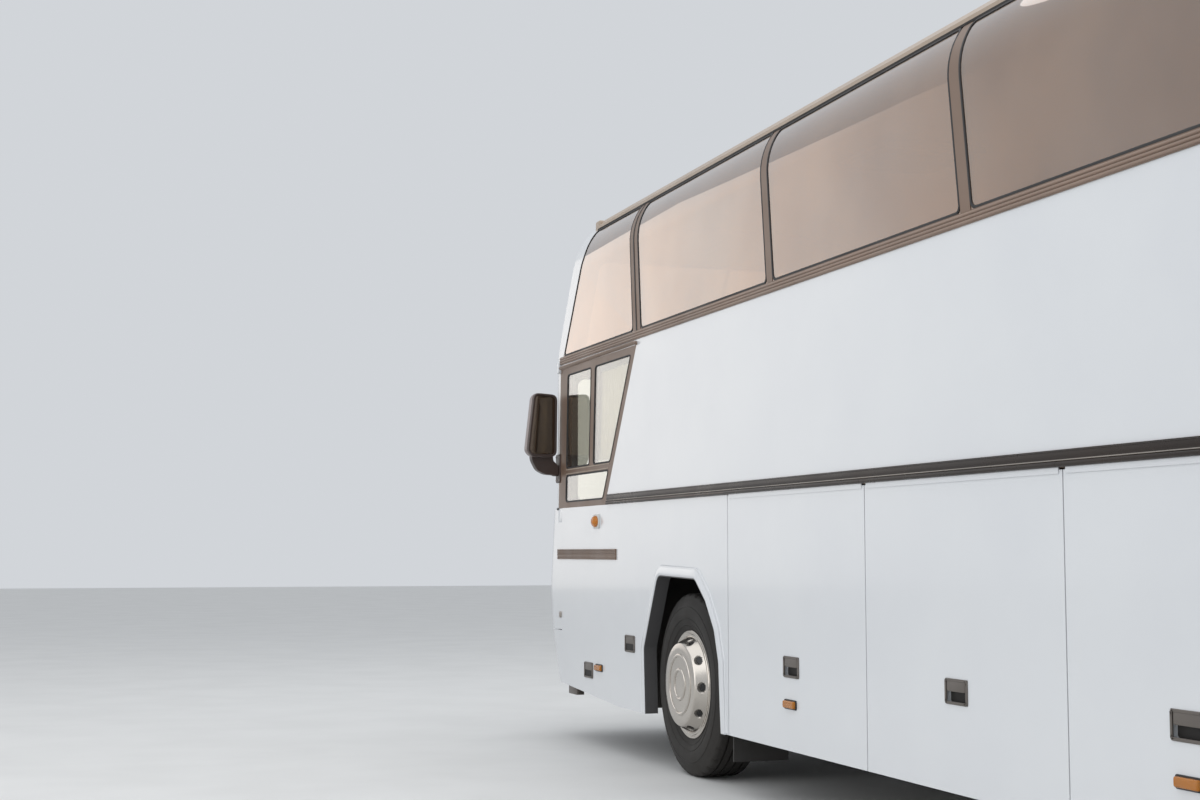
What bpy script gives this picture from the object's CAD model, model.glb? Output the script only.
# %% [markdown]
# A high-deck touring coach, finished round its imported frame. The solids give every panel, pane, wheel and hinge
# its real place. This lesson adds what makes them look real: paint with a soft skin, bronze glass, rubber,
# stainless wheel covers, lamps, tread, seats and curtains. It runs from top to bottom, and each step prints what
# it made.

# %% The frame, and the box that it fills
import math

import bmesh
import bpy
import numpy as np
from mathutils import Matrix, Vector


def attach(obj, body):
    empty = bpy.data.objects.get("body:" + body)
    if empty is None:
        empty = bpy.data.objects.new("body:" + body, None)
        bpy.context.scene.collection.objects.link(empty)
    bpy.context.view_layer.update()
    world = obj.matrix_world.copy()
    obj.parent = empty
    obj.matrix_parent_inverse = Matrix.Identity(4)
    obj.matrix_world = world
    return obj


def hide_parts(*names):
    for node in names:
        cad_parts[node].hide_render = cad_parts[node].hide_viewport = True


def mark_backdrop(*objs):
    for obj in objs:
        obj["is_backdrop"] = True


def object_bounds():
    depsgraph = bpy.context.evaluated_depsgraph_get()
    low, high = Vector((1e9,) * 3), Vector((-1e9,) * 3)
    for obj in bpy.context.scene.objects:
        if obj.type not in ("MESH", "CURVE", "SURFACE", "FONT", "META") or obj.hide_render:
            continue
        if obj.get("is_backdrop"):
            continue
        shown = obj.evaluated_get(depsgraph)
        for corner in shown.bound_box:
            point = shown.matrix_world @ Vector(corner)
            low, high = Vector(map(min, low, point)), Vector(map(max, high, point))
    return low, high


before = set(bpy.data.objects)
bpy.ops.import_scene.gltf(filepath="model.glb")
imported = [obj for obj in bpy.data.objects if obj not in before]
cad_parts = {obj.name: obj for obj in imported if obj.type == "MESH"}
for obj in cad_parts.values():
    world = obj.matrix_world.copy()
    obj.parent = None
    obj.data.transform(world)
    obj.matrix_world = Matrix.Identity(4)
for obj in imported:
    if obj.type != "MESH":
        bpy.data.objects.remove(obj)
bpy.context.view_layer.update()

# %% [markdown]
# The coach's own sizes, in metres. They repeat the lines of the solids, so that trim, seals and lamps land on
# them: the belt and waist strips, the leaning window posts, the bowed front and the places of both axles.

# %% Sizes of the body that the pieces share
HALF = 1.25
AXLE_F = -3.16
AXLE_R = 2.99
FRONT = -6.000
TAIL = 5.975
BELT_Z = 1.597
WAIST_Z = 2.617
WAIST_TOP = 2.671
KNEE_Z = 3.25
RAIL_Z = 3.545
KNEE_INSET = 0.018
RAIL_INSET = 0.15
POST_LEAN = 0.183
FLAP_SEAMS = [AXLE_F + d for d in (0.763, 2.4, 4.01, 5.4)]
POSTS = ((-0.718, 0.133), (1.354, 0.07), (3.344, 0.079), (5.37, 0.07), (7.4, 0.07))
TYRE_R = 0.525
TYRE_HALF = 0.1475
WHEEL_X = 1.0525
TWIN_X = 0.7325
X, Y, Z = (1, 0, 0), (0, 1, 0), (0, 0, 1)
FORE = (0, -1, 0)

# %% [markdown]
# Every new piece is a surface worked out as whole arrays. A shape is a pair: its points, and a list of face
# arrays, four-sided for the skin and one many-sided face for each flat end. Shapes are moved, joined, and at last
# put into one mesh, whose doubled points are merged and whose faces are turned outwards. Curve objects and
# modifiers could make most of these forms too, but arrays keep every point at a place that can be worked out.

# %% Shapes as arrays
def surface(points, wrap_u=False, wrap_v=False):
    """Grid of points (rows, columns, 3) as four-sided faces; a wrapped direction closes on itself."""
    rows, columns = points.shape[:2]
    index = np.arange(rows * columns).reshape(rows, columns)
    if wrap_u:
        index = np.vstack([index, index[:1]])
    if wrap_v:
        index = np.hstack([index, index[:, :1]])
    quads = np.stack([index[:-1, :-1], index[1:, :-1], index[1:, 1:], index[:-1, 1:]], axis=-1)
    return points.reshape(-1, 3), [quads.reshape(-1, 4)]


def together(*shapes):
    """Several shapes as one, each one's faces counted on past the points before it."""
    points, faces, past = [], [], 0
    for own, own_faces in shapes:
        points.append(own)
        faces += [f + past for f in own_faces]
        past += len(own)
    return np.vstack(points), faces


def placed(shape, origin, u, v, w):
    """Shape drawn in (u, v, w) moved to an origin with its three directions given."""
    points, faces = shape
    return np.asarray(origin, float) + points @ np.array([u, v, w], float), faces


def moved(shape, offset):
    """Shape moved without a turn."""
    return shape[0] + np.asarray(offset, float), shape[1]


def mirrored(shape):
    """The same shape on the coach's other side."""
    return shape[0] * np.array([-1.0, 1.0, 1.0]), shape[1]


def both_sides(*shapes):
    """Shapes of the left side and their mirror image, as one."""
    shape = together(*shapes)
    return together(shape, mirrored(shape))


def sided(shape, side):
    """Shape of the left side as it is, or mirrored where the side is -1."""
    return shape if side > 0 else mirrored(shape)


def capped(shape, count):
    """Stack of outlines of one length, closed by a flat face over the first and over the last one."""
    points, faces = shape
    corner = np.arange(count)[None, :]
    return points, faces + [corner[:, ::-1], len(points) - count + corner]


def full_turn(count):
    """Even angles once round, the last one short of the first."""
    return np.linspace(0, 2 * math.pi, count, endpoint=False)


# %% Outlines, plates, swept strips and turned forms
def rounded(width, height, corner, steps=5):
    """Rectangle about the middle with four quarter-circle corners, as an outline of (u, v) points."""
    turn = np.linspace(0, math.pi / 2, steps)
    arcs = []
    for quarter, (su, sv) in enumerate(((1, 1), (-1, 1), (-1, -1), (1, -1))):
        angle = turn + quarter * math.pi / 2
        centre = np.array([su * (width / 2 - corner), sv * (height / 2 - corner)])
        arcs.append(centre + corner * np.stack([np.cos(angle), np.sin(angle)], axis=1))
    return np.vstack(arcs)


def drawn_in(outline, inset):
    """Outline moved inwards along the mean normal of its two sides at each corner."""
    ahead = np.roll(outline, -1, axis=0) - outline
    ahead /= np.maximum(np.linalg.norm(ahead, axis=1, keepdims=True), 1e-9)
    behind = np.roll(ahead, 1, axis=0)
    normal = np.stack([-(ahead + behind)[:, 1], (ahead + behind)[:, 0]], axis=1)
    length = np.maximum((normal ** 2).sum(axis=1, keepdims=True), 1e-9)
    return outline + inset * 2 * normal / length


def plate(outline, depth, edge, foot=0.0):
    """Plate standing on w = foot: upright sides, a quarter-round edge, and flat ends."""
    turn = np.linspace(0, math.pi / 2, 4)
    rings = [np.column_stack([outline, np.full(len(outline), foot)])]
    for a in turn:
        level = foot + depth - edge * (1 - math.sin(a))
        rings.append(np.column_stack([drawn_in(outline, edge * (1 - math.cos(a))), np.full(len(outline), level)]))
    return capped(surface(np.array(rings), wrap_v=True), len(outline))


def slab(width, height, corner, depth, edge):
    """Plate with a rounded rectangle as its outline."""
    return plate(rounded(width, height, corner), depth, edge)


def ring_plate(outline, width, depth, edge):
    """Frame of one width following an outline, with rounded edges: a closed tube of six rings."""
    inner = drawn_in(outline, width)
    levels = [(outline, 0.0), (outline, depth - edge), (drawn_in(outline, edge), depth),
              (drawn_in(inner, -edge), depth), (inner, depth - edge), (inner, 0.0)]
    rings = [np.column_stack([line, np.full(len(line), level)]) for line, level in levels]
    return surface(np.array(rings), wrap_u=True, wrap_v=True)


def swept(profile, path, side, closed=False):
    """Profile of (a, b) points carried along a path: a runs along the side direction, b across it and the path."""
    path = np.asarray(path, float)
    side = np.broadcast_to(np.asarray(side, float), path.shape)
    along = np.gradient(path, axis=0)
    if closed:
        along = np.roll(path, -1, axis=0) - np.roll(path, 1, axis=0)
    along /= np.linalg.norm(along, axis=1, keepdims=True)
    out = side - (side * along).sum(axis=1, keepdims=True) * along
    out /= np.linalg.norm(out, axis=1, keepdims=True)
    across = np.cross(along, out)
    profile = np.asarray(profile, float)
    points = path[:, None] + profile[None, :, :1] * out[:, None] + profile[None, :, 1:] * across[:, None]
    shape = surface(points, wrap_u=closed, wrap_v=True)
    return shape if closed else capped(shape, len(profile))


def even_profile(*half):
    """Profile for swept() from the (a, b) points on one side of its middle line; the other side repeats them."""
    return [(a, -b) for a, b in half] + list(half[::-1])


def round_bar(radius, count=12):
    """Circle as a profile for swept()."""
    angle = full_turn(count)
    return radius * np.stack([np.cos(angle), np.sin(angle)], axis=1)


def turned(x, radius, axle_y, closed=False):
    """Columns of (X, radius) points turned in even steps about an axle that runs across the coach."""
    angle = full_turn(radius.shape[1])
    points = [np.broadcast_to(x, radius.shape), axle_y + radius * np.cos(angle), TYRE_R + radius * np.sin(angle)]
    return surface(np.stack(points, axis=-1), wrap_u=closed, wrap_v=True)


# %% A shape becomes a piece that rides on a body
SIDES = ((1, "left"), (-1, "right"))
SLOT_OF = {
    "seal_rubber": "trim_brown", "belt_dark": "trim_brown", "strip_mauve": "trim_brown", "dark_metal": "trim_brown",
    "recess_dark": "trim_brown", "brush_metal": "trim_brown", "rail_beige": "rail_beige",
    "body_white": "body_white", "plate_blank": "body_white", "arch_rubber": "flap_rubber",
    "lamp_amber": "lamp_red", "lamp_red": "lamp_red", "lamp_white": "lamp_clear", "reflector": "lamp_clear",
    "mirror_glass": "mirror_shell", "mirror_back": "mirror_shell", "cover_steel": "wheel_steel",
    "wheel_steel": "wheel_steel", "dash_plastic": "dash_plastic", "step_yellow": "floor_covering",
    "seat_shell": "seat_fabric"}
finishes = {}
made_triangles = {}


def mesh_of(name, shape):
    """Mesh with a shape's points and faces, written as whole arrays."""
    points, faces = shape
    mesh = bpy.data.meshes.new(name)
    loops = np.concatenate([f.ravel() for f in faces]).astype(np.int32)
    totals = np.concatenate([np.full(len(f), f.shape[1]) for f in faces]).astype(np.int32)
    starts = np.concatenate([[0], np.cumsum(totals)[:-1]]).astype(np.int32)
    mesh.vertices.add(len(points))
    mesh.vertices.foreach_set("co", np.asarray(points, np.float32).ravel())
    mesh.loops.add(len(loops))
    mesh.loops.foreach_set("vertex_index", loops)
    mesh.polygons.add(len(totals))
    mesh.polygons.foreach_set("loop_start", starts)
    mesh.polygons.foreach_set("loop_total", totals)
    mesh.update(calc_edges=True)
    mesh.validate()
    return mesh


def put(name, shape, finish_name, body="coach", slot=None, sharp=35.0, attributes=None, keep_faces=False):
    """One shape, or a list as one, as a mesh object at the origin, with its finish, body and record's slot."""
    shape = together(*shape) if isinstance(shape, list) else shape
    mesh = mesh_of(name, shape)
    for key, values in (attributes or {}).items():
        layer = mesh.attributes.new(key, "FLOAT", "POINT")
        layer.data.foreach_set("value", np.asarray(values, np.float32).ravel())
    if not keep_faces:
        shell = bmesh.new()
        shell.from_mesh(mesh)
        bmesh.ops.remove_doubles(shell, verts=shell.verts, dist=1e-6)
        bmesh.ops.dissolve_degenerate(shell, edges=shell.edges, dist=1e-7)
        bmesh.ops.recalc_face_normals(shell, faces=shell.faces)
        shell.to_mesh(mesh)
        shell.free()
    mesh.shade_smooth()
    mesh.set_sharp_from_angle(angle=math.radians(sharp))
    mesh.materials.append(finishes[finish_name])
    piece = bpy.data.objects.new(name, mesh)
    bpy.context.scene.collection.objects.link(piece)
    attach(piece, body)
    slot = slot or SLOT_OF.get(finish_name)
    made_triangles[name] = sum(f.shape[0] * (f.shape[1] - 2) for f in shape[1])
    print(name, "of", finish_name, "on", body, "with", made_triangles[name], "triangles")
    return piece


# %% [markdown]
# Where things stand on the body. The front is bowed: seen from above it is an arc that falls back 60 mm at the
# corners. The side glass runs straight up to a knee and then curves in to the roof rail. Both curves are written
# once, as functions of whole arrays, and every seal, wiper and lamp on them asks for its place there.

# %% The body's curves
BOW = 0.06
BOW_R = (HALF ** 2 + BOW ** 2) / (2 * BOW)
NOSE_ROWS = ((0.377, 0.24), (0.744, 0.065), (1.051, 0.000), (1.588, 0.078))
SCREEN_BACK = 0.19
FRONT_LEAN = 0.62


def bow(x):
    """How far the arc of the front falls back at a distance from the middle."""
    return BOW_R - np.sqrt(BOW_R ** 2 - np.asarray(x, float) ** 2)


def nose_y(x, z):
    """Skin of the nose: the level's setback, in straight steps between the rows, and the bow."""
    levels, setbacks = zip(*NOSE_ROWS)
    return FRONT + np.interp(z, levels, setbacks) + bow(x)


def screen_y(x, z):
    """Skin of the cabin's front: upright to the waist, leaning back above it."""
    return FRONT + SCREEN_BACK + FRONT_LEAN * np.maximum(np.asarray(z, float) - WAIST_TOP, 0) + bow(x)


KNEE = np.array([HALF - KNEE_INSET, KNEE_Z])
RAIL = np.array([HALF - RAIL_INSET, RAIL_Z])
UP = np.array([-KNEE_INSET, KNEE_Z - WAIST_TOP]) / math.hypot(KNEE_INSET, KNEE_Z - WAIST_TOP)
INWARD = np.array([-UP[1], UP[0]])
GLASS_R = -((KNEE - RAIL) ** 2).sum() / (2 * INWARD @ (KNEE - RAIL))
GLASS_C = KNEE + GLASS_R * INWARD


def side_x(z):
    """Distance of the side glass from the middle: a straight lean to the knee, then an arc to the rail."""
    z = np.asarray(z, float)
    straight = HALF - KNEE_INSET * (z - WAIST_TOP) / (KNEE_Z - WAIST_TOP)
    curved = GLASS_C[0] + np.sqrt(np.maximum(GLASS_R ** 2 - (z - GLASS_C[1]) ** 2, 0))
    return np.where(z <= KNEE_Z, straight, curved)


def side_out(z):
    """Outward direction of the side glass at each height, as (X, Z) pairs."""
    step = 1e-4
    slope = (side_x(np.asarray(z) + step) - side_x(np.asarray(z) - step)) / (2 * step)
    out = np.stack([np.ones_like(slope), -slope], axis=-1)
    return out / np.linalg.norm(out, axis=-1, keepdims=True)


print("glass curve radius", round(float(GLASS_R), 3), "bow radius", round(BOW_R, 2))

# %% [markdown]
# Finishes. No real surface is one flat colour, so each finish starts from a shared group, "skin": two tones mixed
# by a broad noise, a roughness that wanders between two values, and a fine grain for the bump. "film" adds the
# thin dust that any coach carries low down. "ridges" draws even ribs, "weave" a woven cloth and "turning" the
# faint circular lines that a lathe or polishing wheel leaves. Groups give only colours, values and heights; the
# shader itself, and every plain number of it, stays in the material.

# %% Node helpers
def node(tree, kind, values=None, **settings):
    """New node with its settings; each value is a plain number or another node's output."""
    made = tree.nodes.new("ShaderNode" + kind)
    for key, value in settings.items():
        setattr(made, key, value)
    for key, value in (values or {}).items():
        if isinstance(value, bpy.types.NodeSocket):
            tree.links.new(value, made.inputs[key])
        else:
            made.inputs[key].default_value = value
    return made


def math_node(tree, operation, first, second=0.0, clamp=False):
    """Output of one arithmetic step."""
    return node(tree, "Math", {0: first, 1: second}, operation=operation, use_clamp=clamp).outputs[0]


def colour_mix(tree, factor, first, second):
    """Output of a mix of two colours."""
    return node(tree, "Mix", {"Factor": factor, 6: first, 7: second}, data_type="RGBA").outputs[2]


def feed(tree, target, **sources):
    """Links outputs to a node's inputs, which are named with _ for a space."""
    for key, source in sources.items():
        tree.links.new(source, target.inputs[key.replace("_", " ")])


def group(name, inputs, outputs):
    """Empty node group with named sockets; returns the tree, its inputs and its output node."""
    tree = bpy.data.node_groups.new(name, "ShaderNodeTree")
    for key, kind, start in inputs:
        socket = tree.interface.new_socket(key, in_out="INPUT", socket_type=kind)
        socket.default_value = start
    for key, kind in outputs:
        tree.interface.new_socket(key, in_out="OUTPUT", socket_type=kind)
    return tree, tree.nodes.new("NodeGroupInput").outputs, tree.nodes.new("NodeGroupOutput")


FLOAT = "NodeSocketFloat"
COLOR = "NodeSocketColor"
GREY = (0.5, 0.5, 0.5, 1.0)

# %% Group: two tones, wandering roughness, fine grain
skin, given, result = group(
    "skin",
    (("Tone", COLOR, GREY), ("Second tone", COLOR, GREY), ("Tone scale", FLOAT, 1.5), ("Low", FLOAT, 0.3),
     ("High", FLOAT, 0.4), ("Wander scale", FLOAT, 4.0), ("Grain scale", FLOAT, 300.0)),
    (("Color", COLOR), ("Roughness", FLOAT), ("Height", FLOAT)))
place = node(skin, "TexCoord").outputs["Object"]
tone = node(skin, "TexNoise", {"Vector": place, "Scale": given["Tone scale"], "Detail": 3.0})
wander = node(skin, "TexNoise", {"Vector": place, "Scale": given["Wander scale"], "Detail": 4.0})
grain = node(skin, "TexNoise", {"Vector": place, "Scale": given["Grain scale"], "Detail": 2.0})
share = node(skin, "MapRange", {"Value": tone.outputs["Fac"], "From Min": 0.35, "From Max": 0.65})
mixed = colour_mix(skin, share.outputs[0], given["Tone"], given["Second tone"])
rough = node(skin, "MapRange", {"Value": wander.outputs["Fac"], "From Min": 0.3, "From Max": 0.7,
                                "To Min": given["Low"], "To Max": given["High"]})
feed(skin, result, Color=mixed, Roughness=rough.outputs[0], Height=grain.outputs["Fac"])

# %% Group: thin dust that fades out with height above the road
film, given, result = group(
    "film",
    (("Color", COLOR, GREY), ("Dust", COLOR, (0.3, 0.27, 0.23, 1.0)), ("Roughness", FLOAT, 0.3),
     ("Top", FLOAT, 1.2), ("Amount", FLOAT, 0.15)),
    (("Color", COLOR), ("Roughness", FLOAT)))
place = node(film, "TexCoord").outputs["Object"]
height = node(film, "SeparateXYZ", {0: place}).outputs[2]
low = node(film, "MapRange", {"Value": height, "From Min": given["Top"], "From Max": 0.25}).outputs[0]
cloud = node(film, "TexNoise", {"Vector": place, "Scale": 2.2, "Detail": 6.0, "Roughness": 0.6})
amount = math_node(film, "MULTIPLY", math_node(film, "MULTIPLY", low, cloud.outputs["Fac"]), given["Amount"], True)
feed(film, result, Color=colour_mix(film, amount, given["Color"], given["Dust"]),
     Roughness=math_node(film, "ADD", given["Roughness"], amount, True))

# %% Group: even ribs along one axis
ridges, given, result = group("ridges", (("Pitch", FLOAT, 0.02), ("Axis X", FLOAT, 0.0), ("Axis Y", FLOAT, 0.0),
                                         ("Axis Z", FLOAT, 1.0)), (("Height", FLOAT),))
place = node(ridges, "TexCoord").outputs["Object"]
axis = node(ridges, "CombineXYZ", {0: given["Axis X"], 1: given["Axis Y"], 2: given["Axis Z"]}).outputs[0]
along = node(ridges, "VectorMath", {0: place, 1: axis}, operation="DOT_PRODUCT").outputs["Value"]
turns = math_node(ridges, "MULTIPLY", math_node(ridges, "DIVIDE", along, given["Pitch"]), 2 * math.pi)
wave = math_node(ridges, "SINE", turns)
feed(ridges, result, Height=math_node(ridges, "MULTIPLY_ADD", wave, 0.5))

# %% Group: woven cloth with a small two-tone fleck
weave, given, result = group(
    "weave", (("Yarn", COLOR, GREY), ("Fleck", COLOR, GREY), ("Threads", FLOAT, 900.0)),
    (("Color", COLOR), ("Height", FLOAT)))
place = node(weave, "TexCoord").outputs["Object"]
parts = node(weave, "SeparateXYZ", {0: place}).outputs
warp = math_node(weave, "SINE", math_node(weave, "MULTIPLY", parts[0], given["Threads"]))
lift = math_node(weave, "ADD", parts[1], parts[2])
weft = math_node(weave, "SINE", math_node(weave, "MULTIPLY", lift, given["Threads"]))
crossing = math_node(weave, "MULTIPLY", warp, weft)
flecks = node(weave, "TexVoronoi", {"Vector": place, "Scale": 60.0})
spot = node(weave, "MapRange", {"Value": flecks.outputs["Distance"], "From Min": 0.18, "From Max": 0.12})
feed(weave, result, Color=colour_mix(weave, spot.outputs[0], given["Yarn"], given["Fleck"]),
     Height=math_node(weave, "MULTIPLY_ADD", crossing, 0.5))

# %% Group: circular lines round an axle, from the "radius" that a turned piece carries
turning, given, result = group("turning", (("Lines", FLOAT, 900.0), ("Low", FLOAT, 0.15), ("High", FLOAT, 0.3)),
                               (("Height", FLOAT), ("Roughness", FLOAT)))
radius = node(turning, "Attribute", attribute_name="radius").outputs["Fac"]
line = node(turning, "TexNoise", {"W": radius, "Scale": given["Lines"], "Detail": 2.0},
            noise_dimensions="1D").outputs["Fac"]
lined = node(turning, "MapRange", {"Value": line, "To Min": given["Low"], "To Max": given["High"]})
feed(turning, result, Height=line, Roughness=lined.outputs[0])
print("node groups", [tree.name for tree in bpy.data.node_groups])

# %% [markdown]
# One function turns those groups into a finish. It takes the two tones and the roughness span, and then only what
# a finish has beyond them: metal, coat, glass, dust, ribs or weave. Glass is bronze behind the seats and clear
# round the driver, as on the real coach, where the upper saloon is shaded and the road ahead must be seen.

# %% A finish from the groups
def finish(name, tone, second, low, high, grain=300.0, depth=0.0004, wander=4.0, dust=0.0, ribs=None, cloth=None,
           lathe=None, **shader):
    """Material: skin first, then film, ribs, weave or lathe lines; other values go on the shader's own sockets."""
    made = bpy.data.materials.new(name)
    made.use_nodes = True
    tree = made.node_tree
    shader_node = tree.nodes["Principled BSDF"]
    for key, value in shader.items():
        shader_node.inputs[key.replace("_", " ")].default_value = value
    base = node(tree, "Group", {"Tone": (*tone, 1.0), "Second tone": (*second, 1.0), "Low": low, "High": high,
                                "Wander scale": wander, "Grain scale": grain}, node_tree=skin).outputs
    colour, rough_out, lift_out = base["Color"], base["Roughness"], base["Height"]
    if cloth:
        yarn, fleck = cloth
        threads = node(tree, "Group", {"Yarn": (*yarn, 1.0), "Fleck": (*fleck, 1.0)}, node_tree=weave).outputs
        colour, lift_out = threads["Color"], threads["Height"]
    if dust:
        layer = node(tree, "Group", {"Amount": dust, "Color": colour, "Roughness": rough_out},
                     node_tree=film).outputs
        colour, rough_out = layer["Color"], layer["Roughness"]
    if lathe:
        lines = node(tree, "Group", {"Low": low, "High": high}, node_tree=turning).outputs
        rough_out, lift_out = lines["Roughness"], lines["Height"]
    bump = node(tree, "Bump", {"Strength": 1.0, "Distance": depth, "Height": lift_out}).outputs["Normal"]
    if ribs:
        pitch, direction, rise = ribs
        axes = {"Axis " + letter: value for letter, value in zip("XYZ", direction)}
        rows = node(tree, "Group", {"Pitch": pitch, **axes}, node_tree=ridges).outputs["Height"]
        bump = node(tree, "Bump", {"Strength": 1.0, "Distance": rise, "Height": rows, "Normal": bump}).outputs[0]
    feed(tree, shader_node, Base_Color=colour, Roughness=rough_out, Normal=bump)
    finishes[name] = made


def darkened(name, attribute, dark):
    """Mixes a dark tone over a finish where a point attribute is 1; returns its tree, shader node and that mask."""
    tree = finishes[name].node_tree
    shader_node = tree.nodes["Principled BSDF"]
    mask = node(tree, "Attribute", attribute_name=attribute).outputs["Fac"]
    socket = shader_node.inputs["Base Color"]
    tree.links.new(colour_mix(tree, mask, socket.links[0].from_socket, (*dark, 1.0)), socket)
    return tree, shader_node, mask


# %% The coach's finishes
finish("body_white", (0.7, 0.715, 0.73), (0.68, 0.695, 0.715), 0.16, 0.24, grain=420, depth=0.00008,
       Coat_Weight=0.6, Coat_Roughness=0.06)
finish("trim_brown", (0.185, 0.12, 0.084), (0.16, 0.104, 0.072), 0.34, 0.46, depth=0.0001, dust=0.1)
finish("belt_dark", (0.024, 0.015, 0.01), (0.018, 0.012, 0.009), 0.24, 0.34, depth=0.00006, Specular_IOR_Level=0.3)
finish("strip_mauve", (0.27, 0.19, 0.145), (0.24, 0.17, 0.13), 0.3, 0.42, depth=0.0001)
finish("rail_beige", (0.4, 0.315, 0.24), (0.36, 0.285, 0.22), 0.32, 0.44, depth=0.0001)
finish("frame_paint", (0.03, 0.03, 0.032), (0.045, 0.042, 0.04), 0.5, 0.7, grain=120, depth=0.0005, dust=0.35)
finish("cast_metal", (0.16, 0.155, 0.15), (0.1, 0.1, 0.1), 0.5, 0.68, grain=160, depth=0.0008, dust=0.3,
       Metallic=0.7)
finish("floor_covering", (0.06, 0.062, 0.068), (0.075, 0.078, 0.085), 0.6, 0.75, grain=700, depth=0.0004,
       ribs=(0.012, X, 0.0006))
finish("seat_fabric", (0.05, 0.07, 0.14), (0.04, 0.06, 0.12), 0.8, 0.9, depth=0.0004,
       cloth=((0.05, 0.07, 0.15), (0.3, 0.13, 0.06)), Sheen_Weight=0.3)
finish("seat_shell", (0.055, 0.055, 0.058), (0.045, 0.045, 0.048), 0.45, 0.6, grain=500, depth=0.0003)
finish("dash_plastic", (0.05, 0.048, 0.046), (0.04, 0.038, 0.037), 0.5, 0.62, grain=600, depth=0.0004)
finish("mirror_shell", (0.06, 0.038, 0.032), (0.05, 0.033, 0.028), 0.34, 0.46, grain=500, depth=0.0002)
finish("mirror_back", (0.24, 0.19, 0.18), (0.21, 0.165, 0.155), 0.3, 0.4, depth=0.0001)
finish("flap_rubber", (0.022, 0.022, 0.023), (0.03, 0.029, 0.028), 0.65, 0.8, grain=150, depth=0.0005, dust=0.12)
finish("arch_rubber", (0.085, 0.084, 0.086), (0.07, 0.069, 0.071), 0.5, 0.65, grain=150, depth=0.0004, dust=0.08)
finish("seal_rubber", (0.016, 0.015, 0.015), (0.022, 0.02, 0.02), 0.5, 0.62, grain=400, depth=0.0002)
finish("tyre_rubber", (0.014, 0.0125, 0.0115), (0.02, 0.018, 0.0165), 0.55, 0.72, grain=260, depth=0.0005,
       dust=0.08, Specular_IOR_Level=0.35)
finish("wheel_steel", (0.36, 0.35, 0.34), (0.3, 0.29, 0.28), 0.32, 0.46, depth=0.0002, Metallic=0.9)
finish("brush_metal", (0.42, 0.38, 0.34), (0.34, 0.31, 0.28), 0.28, 0.42, depth=0.0001, Metallic=0.9)
finish("dark_metal", (0.17, 0.15, 0.135), (0.13, 0.115, 0.1), 0.36, 0.5, depth=0.0002, Metallic=0.6)
finish("recess_dark", (0.014, 0.012, 0.011), (0.02, 0.017, 0.015), 0.6, 0.75, depth=0.0003)
finish("mirror_glass", (0.17, 0.13, 0.1), (0.14, 0.105, 0.08), 0.05, 0.09, depth=0.0, ribs=(0.0125, Z, 0.0003),
       Metallic=1.0)
finish("reflector", (0.85, 0.85, 0.84), (0.8, 0.8, 0.79), 0.08, 0.14, depth=0.0, Metallic=1.0)
finish("plate_blank", (0.62, 0.62, 0.6), (0.6, 0.6, 0.58), 0.36, 0.46, depth=0.0001)
finish("step_yellow", (0.62, 0.42, 0.05), (0.56, 0.38, 0.05), 0.5, 0.62, depth=0.0004)
finish("curtain_cloth", (0.7, 0.65, 0.51), (0.64, 0.59, 0.46), 0.8, 0.9, depth=0.0003,
       cloth=((0.7, 0.65, 0.51), (0.63, 0.58, 0.45)), Sheen_Weight=0.2)
print("plain finishes", list(finishes))

# %% Glass and lamp lenses: plain shader values for what light passes through
finish("glass_tinted", (0.58, 0.37, 0.235), (0.5, 0.31, 0.195), 0.015, 0.03, depth=0.00004, grain=0.8, wander=1.0,
       Metallic=0.46, Transmission_Weight=0.9, IOR=1.5, Coat_Weight=1.0, Coat_IOR=1.6, Coat_Roughness=0.01)
finish("glass_clear", (0.93, 0.92, 0.82), (0.9, 0.89, 0.79), 0.008, 0.02, depth=0.0, wander=1.0,
       Transmission_Weight=1.0, IOR=1.45, Coat_Weight=1.0, Coat_IOR=1.5, Coat_Roughness=0.01)
finish("lamp_clear", (0.9, 0.92, 0.92), (0.88, 0.9, 0.9), 0.015, 0.04, depth=0.0, Transmission_Weight=1.0,
       IOR=1.45)
finish("lamp_red", (0.55, 0.015, 0.012), (0.48, 0.012, 0.01), 0.06, 0.12, depth=0.0003, Transmission_Weight=0.55,
       ribs=(0.008, X, 0.0006), IOR=1.49)
finish("lamp_amber", (0.85, 0.3, 0.02), (0.78, 0.26, 0.02), 0.06, 0.12, depth=0.0003, Transmission_Weight=0.5,
       ribs=(0.006, Y, 0.0005), IOR=1.49)
finish("lamp_white", (0.88, 0.88, 0.86), (0.84, 0.84, 0.82), 0.06, 0.12, depth=0.0003, Transmission_Weight=0.6,
       ribs=(0.008, X, 0.0006), IOR=1.49)

# %% Every solid gets the finish of its slot
for name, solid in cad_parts.items():
    slot_name = solid.data.materials[0].name.split(".")[0]
    solid.data.materials[0] = finishes[slot_name]
print("solids finished", len(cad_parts), "finishes", len(finishes))

# %% [markdown]
# The camera stands near the coach's rear, at chest height, and looks forward along its left side; its place, turn
# and lens were solved from the straight lines of the body. The studio is a pale floor that runs into a pale
# backdrop, with a broad soft lamp overhead, two beside the coach, and a warm tall one far ahead on the left,
# which the front panes and the long side reflect.

# %% Camera
scene = bpy.context.scene
scene.view_settings.view_transform = "Standard"
camera_data = bpy.data.cameras.new("camera")
camera_data.lens = 52.817
camera_data.sensor_width = 36.0
camera_data.clip_end = 200.0
camera = bpy.data.objects.new("camera", camera_data)
scene.collection.objects.link(camera)
view_direction = Vector((-0.3097, -0.9469, 0.0862))
camera.rotation_euler = view_direction.to_track_quat("-Z", "Y").to_euler()
camera.location = (4.8761, 6.4681, 1.2864)
scene.camera = camera
print("camera at", tuple(camera.location), "lens", camera_data.lens)

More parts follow.
